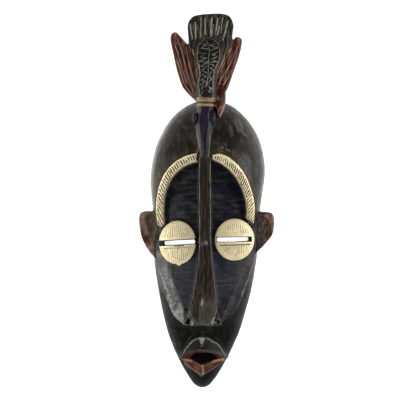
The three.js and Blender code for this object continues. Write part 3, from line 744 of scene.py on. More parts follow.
def paint_face(coat):
    """The brushed face with painted light and a painted highlight on the cheeks, black eye seats painted as shadow
    round the plates, the nose with a painted highlight near its tip, and its two small triangles with painted light
    inside.
    """
    colours, x, y, z, up = coat.colours, coat.x, coat.y, coat.z, coat.up
    face = inside(face_outline(), x, y) & (z > 30)
    nose = (np.abs(x - along(NOSE_CENTRE, y)) < along(NOSE_HALF, y) + 1) & (y > JAW_TOP) & (y < NOSE_END) & (z > 44)
    top = nose & (up > 0.35) & (z > 60)
    coat.lay(face, colours.face, 0.3)
    coat.lay(face * ramp(-0.1, 0.4, wander(coat.points, 0.03, 7)) * (x > 0) * 0.8, (0.011, 0.009, 0.03))
    coat.lay(face * ramp(0, 0.35, wander(coat.points, 0.022, 8)) * (x < 0) * 0.8, (0.02, 0.024, 0.016))
    brushed = coat.streaks((0.1, 1, 0.6), 0.0023, 20)
    coat.lay(face * ramp(0.05, 0.4, brushed) * 0.6, (0.06, 0.06, 0.064))
    coat.lay(face * ramp(0.02, 0.35, -brushed) * (0.85 - 0.35 * (y < -70)), (0.004, 0.004, 0.006))
    # Painted light: the cheeks are painted lighter than the face above them, the inner left cheek most, for the light
    # they catch.
    coat.lay(face * (y < -62) * ramp(-0.5, 0.3, coat.cloudy) * 0.6, (0.058, 0.056, 0.064))
    coat.lay(face * (y < -62) * (x < -12) * (x > -40) * 0.35, (0.085, 0.08, 0.088))
    # Painted shadow: the eye seats are painted black out to just past the plates' rims, under and around the brass.
    for eye in (LEFT_EYE, RIGHT_EYE):
        seat = np.hypot((x - eye["at"][0]) / eye["radii"][0], (y - eye["at"][1]) / eye["radii"][1])
        coat.lay(ramp(1.06, 0.98, seat) * (z > 20), (0.002, 0.002, 0.002), 0)
    # A painted highlight: the outer lower facet of the left cheek is painted as a pale streaky sheen, brightest low
    # down, with bright streaks in it.
    facet_line = [(-58, -66), (-55.5, -88), (-51, -106), (-44.5, -126), (-35, -146)]
    facet = ramp(14, 5, line_distance(facet_line, x, y) + 2.5 * coat.cloudy) * (x < -22) * face * (y < -62)
    sheen_streaks = ramp(-0.4, 0.4, coat.streaks((1, 0.3, 1), 0.0035, 10))
    coat.lay(facet * (0.3 + 0.7 * sheen_streaks) * (1 - 0.4 * ramp(-88, -74, y)), (0.22, 0.22, 0.205), 0.3)
    coat.lay(facet * sheen_streaks * ramp(-112, -132, y) * 0.8, (0.4, 0.4, 0.37))
    for path in (
        [(-52, -90), (-46, -106)], [(-55, -98), (-50, -112)], [(-48, -112), (-40, -131)], [(-44, -98), (-41, -108)],
    ):
        coat.draw(path, 0.8, (0.42, 0.42, 0.39), face, 0.7)
    coat.draw([(-42, -136), (-36, -146), (-31, -151)], 2.2, (0.3, 0.3, 0.28), face, 0.5)
    # Painted light on the right cheek: its outer part is painted lighter and its edge gets two light lines; a dark
    # band lies inside its lower end.
    coat.lay(face * ramp(32, 42, x) * ramp(-60, -80, y) * 0.4, (0.065, 0.06, 0.048))
    coat.draw_all(
        face,
        ([(59.2, -79.5), (55.5, -92.6), (50.9, -107.3), (45.6, -122), (40, -137)], 1.2, (0.32, 0.32, 0.35), 0.8),
        ([(50.4, -108), (45.2, -122), (40.5, -134)], 1.8, (0.26, 0.26, 0.3), 0.6),
        ([(44, -118), (38, -136), (30, -146)], 6, (0.012, 0.012, 0.013), 0.8),
    )
    for path in (
        [(24, -91), (31, -88.5)], [(30, -97), (38, -95)], [(24, -82), (29, -83.5)], [(-29, 25), (-39, 24.5)],
    ):
        coat.draw(path, 0.7, (0.09, 0.09, 0.1), face, 0.6)
    coat.draw([(-47, 18.5), (-41.8, 18.6)], 0.8, (0.12, 0.115, 0.1), face, 0.7)
    coat.draw([(17, 24), (27, 24.3)], 0.7, (0.08, 0.08, 0.09), face, 0.6)
    coat.crosswise[face] = 1
    coat.crosswise[nose] = 0
    coat.lay(nose, colours.face, 0.55, (0.34, 0.3, 0.25))
    coat.lay(top, colours.nose, 0.55)
    grain = coat.streaks((1, 0.06, 1), 0.0019, 21)
    coat.mottle(top, grain, 0, 0.3, (0.75, (0.055, 0.04, 0.029)), (0.85, (0.006, 0.005, 0.004)))
    coat.lay(nose * (up < 0.6) * (x > along(NOSE_CENTRE, y)) * 0.6, (0.035, 0.036, 0.028))
    coat.draw([(-7.5, -52), (-3.1, -51.1), (1.5, -51.4)], 0.8, (0.2, 0.17, 0.13), top, 0.9)
    coat.lay(top * ramp(-112, -126, y) * ramp(-5, 0, x + 0.8 * coat.cloudy) * 0.7, (0.06, 0.06, 0.046))
    # A painted highlight near the nose's tip: a pale smear down the nose with a bright spot at its upper end.
    coat.draw([(-3.7, -125), (-4.2, -148)], 4.5, (0.085, 0.083, 0.07), top, 0.7)
    coat.draw([(-3.8, -120), (-4, -126)], 1.8, (0.36, 0.33, 0.26), top, 0.8)
    under_nose = (y < -133) & (y > -158) & (z > 34) & ~top
    coat.lay(under_nose & (np.abs(x + 2.7) < 24), (0.01, 0.009, 0.008), 0.35, (0.22, 0.2, 0.16))
    for path in (
        [(-18, -134), (-23, -148), (-25, -153)], [(-16, -138), (-14, -146), (-15, -152)],
        [(12, -136), (18, -147), (20.5, -152)], [(10, -140), (7.5, -147), (9, -152)],
    ):
        coat.draw(path, 1.3, (0.13, 0.12, 0.09), under_nose, 0.7)
    # Painted light: pale strokes on the inner faces of the two small triangles, which lie in the shade under the
    # nose.
    for path in ([(-20.4, -142), (-16, -152)], [(13.4, -150), (16.4, -145.5)], [(9.6, -151), (12.4, -144)]):
        coat.draw(path, 2.4, (0.42, 0.38, 0.29), under_nose, 0.75)


def paint_mouth(coat):
    """The black jaws with painted light under the nose, the muzzle with its rubbed ridges, and the red-brown lips."""
    colours, x, y, z = coat.colours, coat.x, coat.y, coat.z
    ridge = inside(mouth_line(*MUZZLE_RIDGE), x, y) & (z > 33)
    lips = inside(mouth_line(*LIPS), x, y) & (z > 33)
    low = y < MOUTH_CORNER[1] + 0.16 * np.abs(x - MOUTH_X)
    jaws = (y < JAW_TOP) & ~ridge & (z > 6)
    coat.lay(jaws, (0.0025, 0.0023, 0.0021), 0)
    mottled = (coat.up > 0.2) * ramp(-0.3, 0.35, wander(coat.points, 0.005, 31)) * ramp(-206, -196, y)
    coat.lay(jaws * mottled * (0.45 + 0.35 * (x < 0)), (0.0075, 0.0072, 0.0062))
    # Painted light: a lighter patch on the jaw under the nose's tip, lifting the shadow there.
    coat.lay(jaws * ramp(18, 7, np.hypot(x + 3, (y + 163) * 1.6)) * 0.7, (0.02, 0.021, 0.017))
    coat.lay(ridge, colours.muzzle, 0.15, (0.3, 0.29, 0.26))
    coat.lay(ridge * ramp(6, 10, x) * 0.5, (0.05, 0.052, 0.05))
    for side in (-1, 1):
        rim = [point for point in mouth_line(*MUZZLE_RIDGE)[:-1] if (point[0] - MOUTH_X) * side > 3]
        coat.draw(rim, 0.6, (0.4, 0.38, 0.34), z > 33, 0.85)
    coat.draw([(4, -171), (9, -173), (14, -176.5)], 2.4, (0.17, 0.18, 0.16), ridge, 0.7)
    coat.lay(ridge & lips, colours.lips * 0.3, 0.3, colours.pink * 0.5)
    lower = (ridge & low) | (inside(LOWER_LIP, x, y) & (z > 20))
    coat.lay(lower, colours.lips * 0.75, 0.1, colours.pink)
    coat.lay(lower & (x > MOUTH_X), colours.lips * 0.6)
    coat.draw([(-25.5, -203.5), (-20, -210.5), (-12, -215.5)], 3, (0.13, 0.062, 0.042), lower, 0.6)
    coat.draw([(24, -203), (18, -208.6), (9, -214.5)], 2.6, (0.1, 0.045, 0.04), lower, 0.6)
    coat.lay(lower * ramp(0, 0.35, wander(coat.points, 0.004, 27)) * 0.5, colours.lips * 0.35)
    coat.lay(inside(mouth_line(*MOUTH_OPENING), x, y) & (z < 46), (0.009, 0.005, 0.005), 0)
    for path in (
        [(-26.6, -200.6), (-20, -200.8), (-16, -201.4)], [(12, -201.6), (19.6, -199.6), (25.5, -198.8)],
    ):
        coat.draw(path, 2.2, (0.38, 0.24, 0.17), ridge & low, 0.8)
    coat.draw_all(
        ridge,
        ([(-16, -201.2), (-8, -205), (-1.4, -207.2), (5, -205.4), (12, -201.6)], 1.2, (0.22, 0.12, 0.07), 0.7),
        ([(-1.4, -206), (-1, -213.6), (-1.8, -219)], 1.1, (0.42, 0.29, 0.16), 0.9),
        ([(-12, -206), (-8, -212)], 1.2, (0.2, 0.07, 0.045), 0.7),
        ([(12, -205), (8, -210)], 1.2, (0.16, 0.055, 0.035), 0.7),
    )
    peak = np.abs(x + 3) < 0.5 + 3.9 * ramp(-184, -168, y)
    coat.lay(peak & (y < -170.4) & (y > -184) & (z > 40) & (coat.up > 0.1), (0.2, 0.18, 0.13), 1)
    coat.draw([(-3.4, -171.5), (-3.6, -180)], 1.9, (0.5, 0.45, 0.34), peak, 0.85)
    coat.draw([(-2.4, -165.5), (-2.6, -169.5)], 2.8, (0.06, 0.065, 0.052), (z > 33) & (y > -170.4), 0.8)


def paint_ears(coat):
    """The scratched brown insides of the ears."""
    colours, x, y, z = coat.colours, coat.x, coat.y, coat.z
    ears = (np.abs(x) > 66) & (y > -78) & (y < -9) & (z > 8) & (x**2 / 87.6**2 + ((y + 60) / 120) ** 2 < 1.2)
    left, right = ears & (x < 0), ears & (x > 0)
    coat.lay(ears, colours.ears, 0.45, colours.pink)
    px, py, pz = coat.points.T
    leaning = wander(np.column_stack([px * 0.8 - py * 0.6, (px * 0.6 + py * 0.8) * 0.2, pz]), 0.0028, 22)
    coat.mottle(ears, leaning, 0.05, 0.35, (0.7, (0.32, 0.235, 0.165)), (0.6, (0.035, 0.02, 0.015)))
    coat.lay(left * ramp(-76, -71, x + 0.3 * (y + 40)) * 0.9, (0.03, 0.03, 0.025), 0.2)
    coat.lay(right * ramp(76, 70, x + 0.1 * (y + 40)) * 0.7, (0.045, 0.036, 0.04), 0.2)
    coat.lay(left * 0.35, (0.3, 0.21, 0.15))
    coat.draw_all(
        left,
        ([(-80, -27), (-79.5, -35), (-76, -43)], 3.8, (0.5, 0.37, 0.26), 0.85),
        ([(-77.5, -27), (-75, -31)], 2, (0.2, 0.05, 0.035), 0.8),
        ([(-75.5, -45), (-72, -54)], 2.6, (0.24, 0.06, 0.04), 0.85),
    )
    for path in ([(79, -28), (73.5, -43)], [(75.5, -22), (71, -33)], [(82, -30), (79, -40), (75, -47)]):
        coat.draw(path, 1.8, (0.26, 0.18, 0.11), right, 0.7)
    coat.draw([(82.5, -17), (83.5, -30)], 2.4, (0.2, 0.07, 0.05), right, 0.8)
    coat.lay(ears * ramp(-12.8, -11, y), (0.01, 0.009, 0.008), 0.2)


def paint_bird(coat):
    """The bird but for its back, with painted shade by its ridges and painted highlights and glints on its head;
    returns how far each point is in plan outside the back's outline.
    """
    colours, x, y, z = coat.colours, coat.x, coat.y, coat.z
    proud = (z > dome_height(x, y) + 0.5) & (y > NOSE_END)
    bird = proud | (y > BACK_START)
    side = np.abs(x - along(BACK_CENTRE, y)) - along(BACK_HALF, y)
    coat.lay(y > BACK_START, colours.tail * 1.25, 0.5, colours.lines)
    feather = coat.streaks((1, 0.08, 1), 0.0022, 25)
    coat.mottle(y > BACK_START, feather, 0.05, 0.35, (0.7, (0.12, 0.11, 0.088)), (0.8, (0.008, 0.008, 0.007)))
    # Painted shadow: each tail ridge is drawn light, with a dark line beside it on one side.
    for count, path in enumerate(TAIL_RIDGES):
        coat.draw(shifted(path, 1.6), 1.3, (0.004, 0.004, 0.004), y > 205, 0.8)
        coat.draw(path, 1.2, colours.lines * 1.9, y > 205, 0.9 + 0.25 * math.sin(count * 2.1))
    wings = bird & (y > 116) & (inside(LEFT_WING, x, y) | inside(RIGHT_WING, x, y) | ((y < 134) & (x < -15)))
    coat.lay(wings & (z < 60), colours.wings, 0.8, colours.pink)
    shades = (0.6, colours.wings * (2.4, 2.2, 1.8)), (0.7, colours.wings * 0.35)
    coat.mottle(wings, feather, 0.05, 0.35, *shades)
    coat.lay(wings * ramp(9, 5, side) * (0.5 + feather), (0.07, 0.05, 0.034), 0.8, colours.lines)
    # Painted shade: each wing ridge is drawn light, with dark lines in the grooves either side of it, darker on the
    # side towards the bird's middle.
    for path in WING_RIDGES:
        shift = 1.5 if path[0][0] > 0 else -1.5
        coat.draw(shifted(path, -shift), 1.5, (0.008, 0.003, 0.003), wings, 0.95)
        coat.draw(shifted(path, shift), 1.2, (0.02, 0.006, 0.004), wings, 0.75)
        coat.draw(path, 0.9, (0.48, 0.29, 0.18), wings, 0.7)
    coat.draw([(26, 151), (22.5, 142)], 2.4, (0.12, 0.088, 0.055), wings, 0.7)
    strut = bird & (y > 107) & (y < 150) & (np.abs(x - along(STRUT_CENTRE, y)) < along(STRUT_HALF, y) + 0.6)
    coat.lay(strut, colours.wings * 0.8, 0.3, colours.pink)
    coat.draw_all(
        strut,
        ([(16.5, 133), (16, 122)], 4.5, (0.12, 0.065, 0.04), 0.8),
        ([(14, 142), (12.6, 128), (11.6, 116)], 1.5, (0.012, 0.005, 0.003), 0.75),
        ([(10.4, 133.5), (11.4, 131)], 2.4, (0.24, 0.17, 0.135), 0.8),
        ([(20.6, 141), (20, 127)], 1.6, (0.15, 0.125, 0.095), 0.85),
    )
    for path in ([(11.2, 111), (12.4, 116), (15, 121.5)], [(13.6, 110), (16.5, 116), (19.6, 125)]):
        coat.draw(path, 1.4, (0.36, 0.24, 0.16), strut, 0.85)
    head = proud & (y < 122.6) & (np.abs(x - along(BEAK_CENTRE, y)) < along(BEAK_HALF, y) + 0.8)
    groove = (x - along(BEAK_CENTRE, y)) / along(BEAK_HALF, y)
    coat.lay(head, colours.bird, 0.4, (0.2, 0.19, 0.17))
    grain = coat.streaks((1, 0.12, 1), 0.0022, 24)
    # The beak's sides are painted lighter grey, a painted highlight, and the middle of its lower part darker, painted
    # shade.
    coat.lay(head * ramp(0.42, 0.7, np.abs(groove)) * (0.6 + 0.9 * grain), (0.1, 0.098, 0.088))
    coat.lay(head * ramp(0.3, 0.1, np.abs(groove)) * ramp(92, 78, y), (0.003, 0.003, 0.003))
    # Painted glints: purple streaks and a pale purple one along the beak.
    for path in ([(-8.2, 118), (-7.6, 106), (-7, 92), (-6, 80)], [(-3.4, 116), (-3.8, 104), (-4.6, 90)]):
        coat.draw(path, 1.2, (0.036, 0.028, 0.06), head, 0.7)
    coat.draw([(-1.2, 112), (1.4, 100)], 1.1, (0.18, 0.16, 0.2), head, 0.6)
    for side_x, strength in ((-1, 0.9), (1, 0.6)):
        edge = [(along(BEAK_CENTRE, b) + side_x * along(BEAK_HALF, b), b) for b in (58, 66, 76, 88)]
        coat.draw(edge, 1.3, (0.3, 0.25, 0.18), head, strength)
    # Painted glints: where the lobes' paint rubs through on their rims, a pale violet shows.
    for at_x, at_y, half, long in LOBES:
        lobe = proud & (((x - at_x) / half) ** 2 + ((y - at_y) / long) ** 2 < 1)
        coat.lay(lobe, (0.015, 0.012, 0.024), 0.3, (0.17, 0.155, 0.22))
    collar = proud & (y > 121.7) & (y < BACK_START) & (np.abs(x + 4.3) < 13) & (coat.up > -0.3)
    coat.lay(collar, (0.075, 0.045, 0.026), 0.5, colours.collar)
    coat.lay(collar & (y > 127.6), colours.collar * 0.75, 0.9, colours.collar * 1.3)
    coat.lay(collar & (y < 125), colours.collar * 0.6, 0.9, colours.collar * 1.3)
    coat.draw([(-15, 131.2), (-10, 131.8), (-3, 132), (5, 131)], 1.1, colours.collar * 1.5, collar, 0.8)
    coat.draw([(-14.5, 124.4), (-4, 124), (4, 124.3)], 0.9, colours.collar * 1.4, collar, 0.8)
    return side


def paint_back(coat, side):
    """The black back of the bird and the pale lines cut in it."""
    colours, x, y = coat.colours, coat.x, coat.y
    back = (y > BACK_START) & (y < 207.4) & (side < 3.4) & (coat.z > 44)
    coat.lay(back, (0.04, 0.036, 0.028), 0.4, colours.lines)
    coat.lay(back & (side < -0.2), colours.back, 0.2)
    coat.lay(back * (side < -0.2) * ramp(0.05, 0.4, wander(coat.points, 0.0016, 26)) * 0.35, (0.09, 0.08, 0.065))
    coat.lay(back * ramp(5, 2, np.hypot(x + 3.5, (y - 166) / 2)), (0.012, 0.01, 0.035))
    cuts = ((y > BACK_START) & (y < 211) & (side < 0.4) & (coat.z > 44)) * incised(coat.points)
    coat.lay(ramp(0.2, 0.95, cuts), colours.lines * 1.8)


def paint_edges(coat):
    """The rubbed wooden edge inside the brow bands, the hollow and the flat back."""
    x, y, z = coat.x, coat.y, coat.z
    brow_lip = brow_distance("edge", "inner_end", x, y)
    edge = (brow_lip < 1.9) & ~inside(face_outline(), x, y) & (z > 40) & (coat.up > 0.2) & (np.abs(x + 3) > 10)
    coat.lay(edge, coat.colours.lip, 0)
    inward = (coat.normals[:, 0] * x + coat.normals[:, 1] * (y + 30) < 0) | (coat.up < -0.6)
    low = z < np.minimum(dome_height(x, y) - 3, 42)
    hollow = (coat.up < 0.05) & inward & (np.abs(x) < 70) & low & (y < 116)
    coat.lay(hollow & ~inside(face_outline(), x, y), coat.colours.raw, 0)
    coat.lay(z < 0.3, coat.colours.raw, 0)


class BIRD_MASK_OT_carve(bpy.types.Operator):
    """Carve and paint the wooden mask over its solid"""

    bl_idname = "bird_mask.carve"
    bl_label = "Carve the wood"

    def execute(self, context):
        sizes, colours = context.scene.mask_carving, context.scene.mask_paint
        carving = merged_copy("carved_mask", "mask_carving")
        sharp = sharp_edge_points(carving, SHARP_ANGLE, 0.0006)
        finish_modifier(carving, "REMESH", mode="VOXEL", voxel_size=sizes.fineness)
        soften(carving, sharp, sizes.softening)
        self.refine_back(carving)
        self.cut(carving, sizes)
        dense = self.mark(carving, colours)
        self.thin(carving, sizes.triangles)
        self.carry(carving, dense)
        carving.data.materials.append(painted_wood(colours))
        carving.data.shade_smooth()
        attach(carving, "root")
        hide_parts("carved_mask")
        return {"FINISHED"}

    def refine_back(self, carving):
        """Make the points closer together where the fine lines are cut."""
        centres = np.empty(len(carving.data.polygons) * 3)
        carving.data.polygons.foreach_get("center", centres)
        x, y, z = (centres.reshape(-1, 3) / MM).T
        chosen = (y > BACK_START - 1) & (y < 209) & (z > BACK_HEIGHT)
        chosen &= np.abs(x - along(BACK_CENTRE, y)) < along(BACK_HALF, y) + 1
        select_only(carving)
        bpy.context.tool_settings.mesh_select_mode = (False, False, True)
        bpy.ops.object.mode_set(mode="EDIT")
        bpy.ops.mesh.select_all(action="DESELECT")
        bpy.ops.object.mode_set(mode="OBJECT")
        carving.data.polygons.foreach_set("select", chosen)
        bpy.ops.object.mode_set(mode="EDIT")
        bpy.ops.mesh.subdivide(number_cuts=1)
        bpy.ops.object.mode_set(mode="OBJECT")

    def cut(self, carving, sizes):
        """Wander the surface as a hand-held blade does, and cut the lines of the bird's back."""
        points, normals = points_of(carving), normals_of(carving)
        x, y, z = (points / MM).T
        calm = ramp(0.3, 3, z)
        shift = (wander(points, 0.024, 1) + 0.5 * wander(points, 0.011, 2)) * sizes.unevenness * calm
        back = (y > BACK_START) & (z > BACK_HEIGHT) & (np.abs(x - along(BACK_CENTRE, y)) < along(BACK_HALF, y))
        shift[back] -= incised(points[back]) * sizes.incision
        bird = (y > 135) & (normals[:, 2] > 0.3)
        for path in TAIL_RIDGES + WING_RIDGES:
            reach = line_distance(path, x[bird], y[bird])
            shift[bird] += sizes.incision * 0.5 * (ramp(1.1, 0.3, reach) - ramp(1, 0.4, np.abs(reach - 1.7)))
        move_points(carving, points + normals * shift[:, None])

    def mark(self, carving, colours):
        """Work out the paint, the rubbed edges and the hollows at every point."""
        fine, broad = bulge(carving, 8), bulge(carving, 60)
        coat = Coat(carving, colours)
        paint_head(coat)
        paint_face(coat)
        paint_mouth(coat)
        paint_ears(coat)
        paint_back(coat, paint_bird(coat))
        paint_edges(coat)
        wear = ramp(0.06, 0.3, fine / MM * coat.ease) * 0.9 + ramp(0.2, 1, broad / MM * coat.ease) * 0.3
        hollow = ramp(0.05, 0.4, -fine / MM) * 0.6 + ramp(0.3, 1.4, -broad / MM) * 0.5
        hollow *= 1 - 0.95 * ramp(-140, -158, coat.y)
        return coat.points, {
            "paint": coat.paint, "under": coat.under, "wear": np.clip(wear, 0, 1), "hollow": np.clip(hollow, 0, 1),
            "crosswise": coat.crosswise,
        }

    def thin(self, carving, target):
        """Thin the hollow first and then the whole, which keeps the points where the surface bends."""
        _, y, z = points_of(carving).T
        hidden = ((normals_of(carving)[:, 2] < 0) & (z < 0.045) & (y < 0.12)).astype(float)
        group = weigh(carving, "hidden", hidden)
        keep = 1 - HIDDEN_THINNING * hidden.mean()
        finish_modifier(carving, "DECIMATE", ratio=keep, vertex_group=group, vertex_group_factor=1.0)
        carving.vertex_groups.clear()
        faces = sum(len(face.vertices) - 2 for face in carving.data.polygons)
        if faces > target:
            finish_modifier(carving, "DECIMATE", ratio=target / faces)

    def carry(self, carving, dense):
        """Give the thinned points the marks of the nearest points before."""
        points, marks = dense
        chosen, _ = nearest(points.tolist(), points_of(carving))
        for name, values in marks.items():
            set_attribute(carving, name, values[chosen])


# The brass


def brass_finish(context):
    """The brass's material, made once."""
    return bpy.data.materials.get("embossed_brass") or embossed_brass(context.scene.mask_paint)


def finish_sheet(sheet, finish):
    sheet.data.materials.append(finish)
    select_only(sheet)
    bpy.ops.object.shade_smooth_by_angle(angle=math.radians(40))
    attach(sheet, "root")


def strokes_at(phase, points, sharpness):
    """Raised strokes with dark grooves between them: 1 on a stroke and 0 in a groove, one stroke to each phase."""
    phase = phase + 0.3 * wander(points, 0.009, 3) + 0.08 * wander(points, 0.003, 19)
    ridge = 0.5 + 0.5 * np.cos(2 * math.pi * phase)
    strength = 0.55 + 0.65 * ramp(-0.35, 0.3, wander(points, 0.0036, 12))
    return 1 - (1 - ramp(sharpness - 0.25, sharpness + 0.3, ridge)) * np.clip(strength, 0, 1)


def at_steps(table, u):
    """Read a table with a row for each of a band's steps, at places u between 0 and 1."""
    return np.column_stack([np.interp(u, BAND_STEPS, column) for column in table.T])


def stroke_phase(brow, outer, inner, u, points):
    """Count the strokes along a band, from its middle line and the way they lean off the vertical."""
    middle = (outer + inner) / 2
    lean = np.radians(along(brow["lean"], middle[:, 1]))
    across = np.column_stack([np.cos(lean), -np.sin(lean)]) / along(brow["spacing"], middle[:, 1])[:, None]
    steps = np.gradient(middle, axis=0)
    across *= np.sign((across * steps).sum(axis=1))[:, None]
    phase = np.cumsum((across * steps).sum(axis=1))
    off_middle = points[:, :2] / MM - at_steps(middle, u)
    return (off_middle * at_steps(across, u)).sum(axis=1) + np.interp(u, BAND_STEPS, phase)


def band_rim(brow, line, end_y):
    """One long edge of a band in plan, as evenly spaced points."""
    side, near = brow["side"], brow["near_nose"]
    points = brow_line(line, side, end_y, 90)
    first = points[0]
    drop = 1.6 if first[0] * side > near + 5 else 0
    kept = points[np.abs(points[:, 0]) > near]
    corner = [brow["corner"]] if brow["corner"] and line is brow["outer"] else []
    path = np.vstack([[side * near, first[1] - drop], kept, *corner, brow["tip"]])
    run = np.concatenate([[0], np.cumsum(np.hypot(*np.diff(path, axis=0).T))])
    evenly = np.linspace(0, run[-1], len(BAND_STEPS))
    return np.column_stack([np.interp(evenly, run, path[:, k]) for k in (0, 1)])


def mark_band(band, brow, outer, inner):
    """Work out where a band is raised and where it is hollow, from its strokes, its rim and its wear."""
    points, u, v = points_of(band), read_attribute(band, "along"), read_attribute(band, "across")
    y = points[:, 1] / MM
    strokes = strokes_at(stroke_phase(brow, outer, inner, u, points), points, 0.7)
    smooth = 0.2 if brow["side"] < 0 else 0.2 + 0.15 * ramp(0.45, 0.15, u)
    smooth = smooth + 0.1 * wander(points, 0.0035, 30)
    rim = np.maximum(ramp(1 - smooth - 0.05, 1 - smooth + 0.08, v), ramp(0.14, 0.06, v))
    dots = ramp(0.2, 0.55, wander(points, 0.0019, 14)) * 0.4
    marks = np.clip(np.maximum(strokes, rim) - dots, 0, 1)
    low = ramp(50, 20, y)
    edges = ramp(0.84, 1, v) * (0.25 + 0.35 * low) + ramp(0.26, 0.1, v) * (0.1 + 0.35 * low)
    grooves = (1.1 - 0.35 * ramp(30, 55, y)) * (1 - marks)
    set_attribute(band, "raised", marks)
    set_attribute(band, "hollow", np.clip(grooves + edges, 0, 1))


def band_sheet(name, brow, wood, sizes):
    """One brow band, laid on the wood from above."""
    edge = (brow["edge"][0] + BROW_LIP, brow["edge"][1] + BROW_LIP, *brow["edge"][2:])
    outer, inner = band_rim(brow, brow["outer"], brow["outer_end"]), band_rim(brow, edge, brow["inner_end"])

    def place(u, v):
        near, far = at_steps(inner, u), at_steps(outer, u)
        plan = near + (far - near) * v[:, None]
        return np.column_stack([plan, np.full(len(plan), 90.0)])

    band = formed_sheet(name, *BAND_GRID, place)
    finish_modifier(
        band, "SHRINKWRAP", target=wood, wrap_method="PROJECT", use_project_z=True, use_negative_direction=True,
        use_positive_direction=False, offset=FIT_GAP * MM,
    )
    face_up(band)
    mark_band(band, brow, outer, inner)
    thicken = {"TRANSFORM_OT_translate": {"value": (0, 0, sizes.sheet)}}
    in_edit_mode(band, (bpy.ops.mesh.extrude_region_move, thicken))
    upper = np.empty(len(band.data.vertices), bool)
    band.data.vertices.foreach_get("select", upper)
    lift = read_attribute(band, "raised") * upper * sizes.emboss
    move_points(band, points_of(band) + np.outer(lift, (0, 0, 1)))
    in_edit_mode(band, (bpy.ops.mesh.normals_make_consistent, {"inside": False}))
    finish_modifier(band, "BEVEL", width=0.00022, segments=2, limit_method="ANGLE", angle_limit=math.radians(60))
    return band


def dome_level(out):
    """Height of an eye plate's underside over its seat, from its middle to its turned-down rim."""
    return FIT_GAP + EYE_EDGE + (EYE_CROWN - EYE_EDGE) * (1 - out**2) - 0.7 * ramp(0.955, 1, out)


def eye_sheet(name, eye, sizes):
    """The smooth domed oval over one eye, before its slit is cut."""
    half_x, half_y = eye["radii"]
    turn = Matrix.Rotation(math.radians(eye["tilt"]), 3, "Y")

    def place(u, v):
        x, y = np.cos(2 * math.pi * u) * v * half_x, np.sin(2 * math.pi * u) * v * half_y
        if eye["tab"]:
            tab = 1.5 * np.exp(-(((x - eye["tab"]) / 2.4) ** 4))
            notch = 0.9 * np.exp(-(((x - eye["tab"] + 4) / 1.4) ** 2))
            y = y - (y < 0) * ramp(0.88, 1, v) * (tab - notch)
        return np.column_stack([x, y, dome_level(v)]) @ np.array(turn).T + eye["at"]

    sheet = formed_sheet(name, *EYE_GRID, place)
    face_up(sheet)
    finish_modifier(sheet, "SOLIDIFY", thickness=sizes.sheet, offset=1.0)
    return sheet


def cut_slit(sheet, eye):
    """Cut the gap of the slit out of an eye sheet."""
    gap = eye["gap"]
    at_x, at_y, at_z = eye["at"]
    middle = (gap["from"] + gap["to"]) / 2 - at_x
    turn = math.radians(gap["turn"])
    select_only()
    bpy.ops.mesh.primitive_cube_add(
        size=1,
        location=(
            (at_x + middle * math.cos(turn) - gap["lift"] * math.sin(turn)) * MM,
            (at_y + middle * math.sin(turn) + gap["lift"] * math.cos(turn)) * MM,
            at_z * MM,
        ),
        rotation=(0, 0, turn),
        scale=((gap["to"] - gap["from"]) * MM, gap["height"] * MM, 0.05),
    )
    cutter = bpy.context.object
    finish_modifier(sheet, "BOOLEAN", object=cutter, operation="DIFFERENCE", solver="EXACT")
    bpy.data.objects.remove(cutter)


def emboss_eye(sheet, eye, sizes):
    """Raise the strokes, beads and folds on the upper side of an eye sheet."""
    half_x, half_y = eye["radii"]
    turn = np.array(Matrix.Rotation(math.radians(eye["tilt"]), 3, "Y"))
    points = points_of(sheet)
    x, y, level = ((points / MM - eye["at"]) @ turn).T
    out = np.hypot(x / half_x, y / half_y)
    slit_y = y - math.tan(math.radians(eye["gap"]["turn"])) * x
    strokes = strokes_at(x * (1 - 0.012 * np.abs(slit_y)) / EYE_STROKES, points, 0.2)
    ends = 0.9 * wander(points, 0.004, 13)
    zone = ramp(*eye["strokes"], out + 0.03 * ends) * ramp(6.4, 8, np.abs(slit_y) + ends) * ramp(24, 16, np.abs(x))
    beads = ramp(0.2, 0.8, 0.5 + 0.5 * np.cos(np.arctan2(y, x) * 44)) * ramp(0.03, 0.012, np.abs(out - 0.925))
    fold = np.exp(-(((slit_y + 6.5 + 0.4 * ends) / 0.9) ** 2)) * ramp(0.92, 0.8, out)
    if eye["tab"]:
        fold = np.maximum(fold * 0.6, np.exp(-(((slit_y + 4.2) / 0.8) ** 2)) * ramp(8, 5, np.abs(x - 3)))
    marks = 1 - zone * (1 - strokes) * 0.8 - 0.45 * beads - 0.95 * fold
    marks = np.clip(marks - ramp(0.3, 0.6, wander(points, 0.0016, 15)) * 0.3, 0, 1)
    upper = ramp(0.3, 0.6, (level - dome_level(np.clip(out, 0, 1))) * MM / sizes.sheet)
    move_points(sheet, points + np.outer(marks * upper * sizes.emboss, turn[:, 2]))
    set_attribute(sheet, "hollow", 0.9 * (1 - marks) * upper)


class BIRD_MASK_OT_brow_bands(bpy.types.Operator):
    """Lay the two embossed brass bands on the brows"""

    bl_idname = "bird_mask.brow_bands"
    bl_label = "Lay the brow bands"

    def execute(self, context):
        sizes, finish = context.scene.mask_carving, brass_finish(context)
        wood = bpy.data.objects["mask_carving"]
        for node, brow in (("left_brow_band", LEFT_BROW), ("right_brow_band", RIGHT_BROW)):
            band = band_sheet(node.replace("band", "brass"), brow, wood, sizes)
            finish_sheet(band, finish)
            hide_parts(node)
        return {"FINISHED"}


